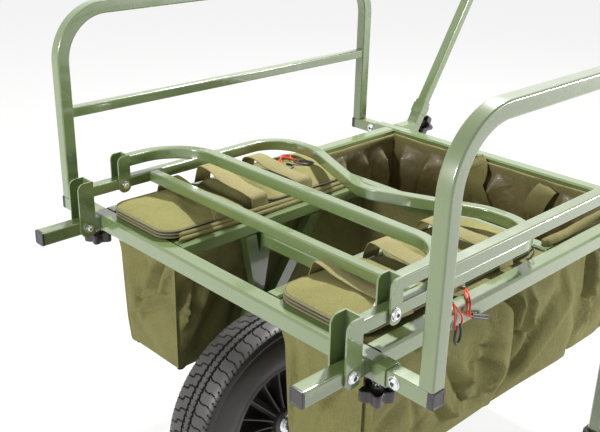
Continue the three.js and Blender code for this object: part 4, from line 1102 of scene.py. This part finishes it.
def smooth_route(points, step=3.0):
    """A smooth curve through points, in short steps: each a place and the way ahead."""
    points = [np.array(p, float) for p in points]
    ends = [2 * points[0] - points[1]] + points + [2 * points[-1] - points[-2]]
    route = []
    for a, b, c, d in zip(ends, ends[1:], ends[2:], ends[3:]):
        count = max(2, round(float(np.linalg.norm(c - b)) / step))
        for k in range(count):
            t = k / count
            bend = (2 * a - 5 * b + 4 * c - d) * t ** 2 + (3 * b - a - 3 * c + d) * t ** 3
            route.append(spot(*(0.5 * (2 * b + (c - a) * t + bend))))
    route.append(spot(*points[-1]))
    last = len(route) - 1
    ways = [(route[min(i + 1, last)] - route[max(i - 1, 0)]).normalized() for i in range(last + 1)]
    return list(zip(route, ways))


def strap(name, points, across, width, finish=WEBBING, thick=WEBBING_THICK, sway=0.0):
    """A flat strap along a smooth curve, with its width along across, that may sway from side to side."""
    wide = Vector(across).normalized()
    rings = []
    for i, (place, along) in enumerate(smooth_route(points)):
        out = wide.cross(along).normalized()
        side_way = along.cross(out)
        turn = sway * math.sin(i * 0.21)
        flat = side_way * math.cos(turn) + out * math.sin(turn)
        raised = out * math.cos(turn) - side_way * math.sin(turn)
        section = rounded_square(width, thick * 0.45, 2, thick)
        rings.append([place + flat * a + raised * b for a, b in section])
    piece(name, loft(rings), finish, "frame", 50)


# Each handle: how far back it lies, and the heights of its arch at places from its inner end outwards
HANDLES = {
    ("front", "left"): (112, [2, 16, 38, 40, 34, 30, 29, 26, 8]),
    ("front", "right"): (136, [-2, 10, 30, 34, 35, 38, 44, 40, 10]),
    ("between", "left"): (236, [-4, 12, 32, 35, 31, 28, 26, 20, 4]),
    ("between", "right"): (224, [-4, 8, 28, 34, 38, 43, 50, 46, 12]),
    ("middle", "left"): (362, [2, 16, 34, 38, 36, 34, 31, 24, 4]),
    ("middle", "right"): (336, [2, 16, 32, 36, 38, 42, 46, 38, 8]),
}
HANDLE_SPAN = [126, 127.5, 137, 158, 190, 225, 262, 291, 301]
RIGHT_END_SHIFT, HANDLE_WANDER, HANDLE_SWAY = 6, 3, 0.05
for (place, side), (back, heights) in HANDLES.items():
    sign = SIDES[side]
    shift = [RIGHT_END_SHIFT * (side == "right" and k < 2) for k in range(len(heights))]
    points = [(back + HANDLE_WANDER * math.sin(k * 1.1), sign * (y + shift[k]), z)
              for k, (y, z) in enumerate(zip(HANDLE_SPAN, heights))]
    strap(f"handle_strap_{place}_{side}", points, FORWARD, WEBBING_WIDTH, sway=HANDLE_SWAY)


# Hems: the canvas is rolled over and stitched where it meets the right bay rail,
# in two rolls side by side that lie along the rail.
# Each roll: how far out from the middle it lies, its height and its radius
HEM_ROLLS = [(118.5, 4, 4.6), (128, 7, 5.4)]
ROLL_FLATNESS, ROLL_END = 0.8, 0.55


def roll(name, points, radius):
    route = smooth_route(points, 6)
    rings = []
    for i, (place, along) in enumerate(route):
        across = UP.cross(along).normalized()
        above = along.cross(across)
        reach = radius * (1 + 0.12 * noise.noise(place * 40))
        if i in (0, len(route) - 1):
            reach *= ROLL_END
        rings.append([place + (across * a + above * ROLL_FLATNESS * b) * reach * MM for a, b in circle(14)])
    piece(name, loft(rings), SEAM_TAPE, "frame", 60)


for number, (y, above, radius) in enumerate(HEM_ROLLS):
    points = [(36 + 8 * number + 53 * k, -(y + 1.6 * math.sin(k * 1.7 + number)),
               above + 1.2 * math.cos(k * 2.1)) for k in range(9)]
    roll(f"hem_roll_{number + 1}_right", points, radius)


# Zip pulls: pairs of red cords through each zip's slider, most of them with a black rubber loop at the end.
# They hang over the left side rail, and lie on the lid on the right.
RED_CORD = mottled("red_cord", "red_cord", {"Specular IOR Level": 0.4}, (1.1, 2),
                   (206, 40, 24), (244, 72, 44), (0.5, 0.2), None, (1.1, 2), 0.2)
CORD_THICK, RUBBER_END = 2.8, 4.2


def cord_tube(name, points, thick, finish):
    """A round cord along a smooth curve, and its route."""
    route = smooth_route(points, 1.5)
    rings = []
    normal = route[0][1].orthogonal()
    for place, along in route:
        normal = (normal - along * normal.dot(along)).normalized()
        other = along.cross(normal)
        rings.append([place + (normal * a + other * b) * thick / 2 * MM for a, b in circle(10)])
    return piece(name, loft(rings), finish, "frame", 70), [place for place, _ in route]


# Each pull: the cord's points from the slider to its rubber end, and then the end's own loop
PULLS = {
    "pull_front_left": (
        [(196, 309, 14), (194, 317, 14), (189, 327, 12), (184, 333, 9), (182, 337, 0), (183, 338, -12),
         (184, 338.5, -24)],
        [(189, 338.4, -20), (185, 339.4, -30), (184, 339.8, -42), (188, 340, -49), (194, 340, -48),
         (198, 339.8, -40), (198, 339.4, -29), (195, 338.4, -20)]),
    "pull_front_left_loop": (
        [(190, 309, 16), (188, 317, 17), (186, 327, 15), (188, 333, 9), (194, 337, 0), (200, 338, -12),
         (198, 338.5, -24)],
        None),
    "pull_middle_left": (
        [(246, 303, 8), (243, 309, 6), (237, 315, 4.5), (230, 322, 3.5), (222, 329, 3.2), (213, 336, 2),
         (208, 339, -4), (209, 340, -10), (216, 340.5, -13), (224, 340.5, -15)],
        [(221, 340.5, -12.5), (233, 341, -17), (247, 341.4, -23), (258, 341.6, -27), (262, 341.8, -30.5),
         (256, 341.6, -31.5), (244, 341, -27), (232, 340.6, -21.5), (222, 340.4, -17)]),
    "pull_middle_left_loop": (
        [(247, 305, 8), (244, 312, 7), (240, 318, 6), (232, 325, 5.5), (226, 331, 4.5), (219, 337, 2),
         (213, 340.5, -5), (214, 341.5, -11), (220, 341.5, -15)],
        None),
    "pull_middle_right": (
        [(358, -240, 28), (370, -244, 31), (382, -250, 32), (394, -256, 33), (404, -252, 31),
         (410, -240, 30), (412, -226, 29)],
        [(410, -234, 30), (418, -222, 30), (428, -208, 29), (426, -200, 28), (414, -202, 28),
         (402, -216, 29), (400, -228, 30)]),
    "pull_middle_right_loop": (
        [(366, -234, 28), (376, -240, 31), (386, -252, 32), (398, -262, 34), (410, -264, 33),
         (416, -256, 31), (406, -244, 30)],
        [(372, -232, 29), (362, -222, 29), (364, -210, 28), (376, -208, 28), (386, -216, 29),
         (382, -230, 30)]),
}
for name, (points, end) in PULLS.items():
    made, route = cord_tube(name, points, CORD_THICK, RED_CORD)
    if end:
        cord_tube(name + "_end", end, RUBBER_END, BLACK_PLASTIC)[0]
    length = sum((b - a).length for a, b in zip(route, route[1:]))
    turned(name + "_slider", [(0.6, -2.2), (2.6, -2), (3.2, 0), (2.6, 2), (0.6, 2.2)],
           spot(*points[0]), ACROSS, DARK_STEEL_AND_SHADE, "frame", 16)


# A steel ring beside the left middle lid, hung a little out of the upright, for a strap to hook into.
# It is bent from round wire and has no gap.
RING_PLACE, RING_AXIS, RING_RADIUS, RING_WIRE = (424, 306, 9), (0.55, -0.66, 0.5), 10, 1.4
axis = Vector(RING_AXIS).normalized()
right = axis.orthogonal().normalized()
ahead = axis.cross(right)
rings = []
for a, b in circle(8):
    reach = RING_RADIUS + RING_WIRE * a
    rings.append([spot(*RING_PLACE) + (right * c * reach + ahead * d * reach + axis * RING_WIRE * b) * MM
                  for c, d in circle(36)])
piece("strap_ring_middle_left", loft(rings, True), DARK_STEEL_AND_SHADE, "frame", 60)


# Open rear bag: a double wall of olive canvas outside and shiny coated nylon inside, hemmed at the top.
# It fills the deck behind the cross rail, with webbing loops sewn to its back wall.
REAR_FRONT, REAR_BACK, REAR_HALF, REAR_TOP, REAR_DEPTH, REAR_ROWS = 503.8, 796.2, 302.2, 10, 252, 44
# How far the lining stands in from the outside, how far its floor lies above the outside's, and how much
# slacker it is than the outside
LINING_GAP, LINING_RISE, LINING_SLACK = 5, 22, 1.4
# The left outer wall swells before its middle, and is drawn in at its front end
REAR_BULGE, REAR_BULGE_END, REAR_TUCK, REAR_TUCK_END = 16, (190, 236), 5, (90, 120)


def nylon_finish():
    nylon = Finish("coated_nylon_lining", "canvas", {"Specular IOR Level": 0.6})
    crumple_height_and_shade = nylon.noise(30, 4, 0.55, 1.2)
    yarn = nylon.noise(1.6, 1)
    # The colour follows the crumple's height: painted shade in its hollows and painted highlight on its
    # crests.
    nylon.give("Base Color", nylon.mix(crumple_height_and_shade, colour(78, 70, 38), colour(122, 112, 72)))
    nylon.give("Roughness", 0.44 + yarn * 0.12)
    nylon.give("Coat Weight", crumple_height_and_shade * 0.12)
    nylon.give("Normal", nylon.bump(crumple_height_and_shade, 3.0, nylon.bump(yarn, 0.05)))
    return nylon


NYLON = nylon_finish()
# Folds of the lining, of which negative ones stand in from the wall. Its two sides share the first three.
SIDE_FOLDS = [(40, 10, 60, 140, 14, -9), (110, 20, 90, 160, 16, -10), (170, 10, 190, 140, 14, -9)]
LINING_FOLDS = {
    "rear": [(18, 6, 60, 120, 10, -12), (4, 20, 8, 200, 16, 9), (44, 20, 92, 130, 14, -10),
             (150, 10, 120, 120, 12, -7), (190, 30, 230, 160, 18, -10), (300, 12, 330, 150, 16, -9),
             (350, 40, 340, 190, 20, -12), (420, 20, 400, 170, 16, -10), (470, 10, 505, 150, 18, -12),
             (560, 20, 540, 190, 22, -10)],
    "outer": SIDE_FOLDS + [(236, 16, 262, 170, 12, -14), (280, 10, 286, 190, 10, 8)],
    "inner": SIDE_FOLDS + [(230, 16, 250, 170, 16, -12)],
    "front": [(60, 10, 90, 150, 16, -9), (170, 20, 150, 160, 18, -10), (300, 10, 330, 170, 20, -10),
              (430, 10, 400, 150, 16, -9), (520, 10, 540, 150, 16, -9)],
}
REAR_FOLDS = {
    "inner": [(60, 60, 40, 190, 24, 5), (150, 50, 190, 190, 26, -6), (240, 60, 220, 200, 22, 5),
              (120, 190, 60, 216, 16, -5)],
    "outer": [(126, 30, 112, 120, 10, -9), (140, 60, 116, 210, 12, 8), (160, 30, 196, 120, 12, -9),
              (110, 130, 150, 150, 10, -6), (150, 190, 110, 216, 12, -4)],
}


def rear_skin(drawn, folds, seed, depth, rough):
    """One wall of the open bag: open at the top, with slack walls and a base that sags."""
    plan = bag_plan(REAR_FRONT + drawn, REAR_BACK - drawn, -(REAR_HALF - drawn), REAR_HALF - drawn)
    rings = []
    for row in range(REAR_ROWS + 1):
        v = REAR_TOP + (depth - BASE_ROUND - REAR_TOP) * row / REAR_ROWS
        slack = ease(v, 20, 60)
        edge = []
        for place in plan:
            x, y, out, wall, *_ = place
            own, push = wall_push(seed, v, place, folds.get(wall, []), (2, 30), (-8, 10), rough)
            push *= LINING_SLACK if drawn else calm(v, depth)
            if not drawn and wall == "outer" and y > 0:
                push += REAR_BULGE * belly(v, depth) * (1 - ease(own, *REAR_BULGE_END))
                push -= REAR_TUCK * (1 - ease(own, *REAR_TUCK_END))
            push *= slack
            if drawn:
                push = min(push, drawn * 0.5)
            edge.append((x + out[0] * push, y + out[1] * push, v))
        rings.append([spot(x, y, -v) for x, y, _ in edge])
    rings += slack_base(edge, plan, 1, seed, (0.33, 0.66, 1.0), (0.9, 0.75, 0.55, 0.35, 0.15), 4, 16, 2.6)
    verts, faces = loft(rings)
    faces.pop(-2)
    return verts, faces


outside = piece("rear_bag_outside", rear_skin(0, REAR_FOLDS, 3, REAR_DEPTH, 0.8), CANVAS, "frame", 60)
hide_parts("rear_bag")
lining = rear_skin(LINING_GAP, LINING_FOLDS, 8, REAR_DEPTH - LINING_RISE, 1.1)
piece("rear_bag_lining", lining, NYLON, "frame", 60)

# The hem's section: how far in from the bag's outside, and how far above the deck
HEM_SECTION = [(0.2, -20), (-0.2, -15), (0.4, -10.6), (2.4, -9.4), (5.2, -9.8), (6.8, -12), (7.4, -16)]
HEM_SECTION += [(7.4, -22), (6.8, -25), (5.2, -25), (5, -22), (4.4, -16), (3, -13), (1.6, -14), (1.4, -20)]
hem_plan = rounded_plan(REAR_FRONT, REAR_BACK, -REAR_HALF, REAR_HALF, BAG_CORNER, 6)
rings = []
for drawn, above in HEM_SECTION:
    ring = []
    for x, y, way in hem_plan:
        slack = noise.noise(Vector((x / 40, y / 40, 2))) * 1.4 * ease(drawn, 2, 6)
        inward = drawn + max(-0.6, slack) + 1.5 * math.sin((x + y) * 0.7) * ease(-above, 15, 24)
        wave = noise.noise(Vector((x / 60, y / 60, 5))) * 1.2
        ring.append(spot(x - way[0] * inward, y - way[1] * inward, above + wave))
    rings.append(ring)
piece("rear_bag_hem", loft(rings, True), SEAM_TAPE, "frame", 50)

# A rolled edge of an inner pocket on the bag's left side
near_roll = [(488 + 33 * k, 291 + 1.5 * math.sin(k * 1.3), 3 + 1.5 * math.cos(k)) for k in range(10)]
roll("rear_bag_near_roll", near_roll, 9)

# Each loop on the back wall: its places across the deck and its heights, from its top down, and its width
BACK_LOOPS = {
    "back_loop_1": ([-66, -50, -42, -44, -30, -26, -46], [-10, -18, -34, -56, -84, -108, -122], 44),
    "back_loop_2": ([122, 118, 112, 106, 102, 100, 98], [-20, -26, -40, -60, -80, -94, -100], 46),
}
LOOP_INWARD = [3, 11, 19, 25, 21, 10, 3]
for name, (across, heights, width) in BACK_LOOPS.items():
    route = [(REAR_BACK - 6 - inward, y, above) for inward, y, above in zip(LOOP_INWARD, across, heights)]
    strap(name, route, ACROSS, width, SEAM_TAPE, 2.2)
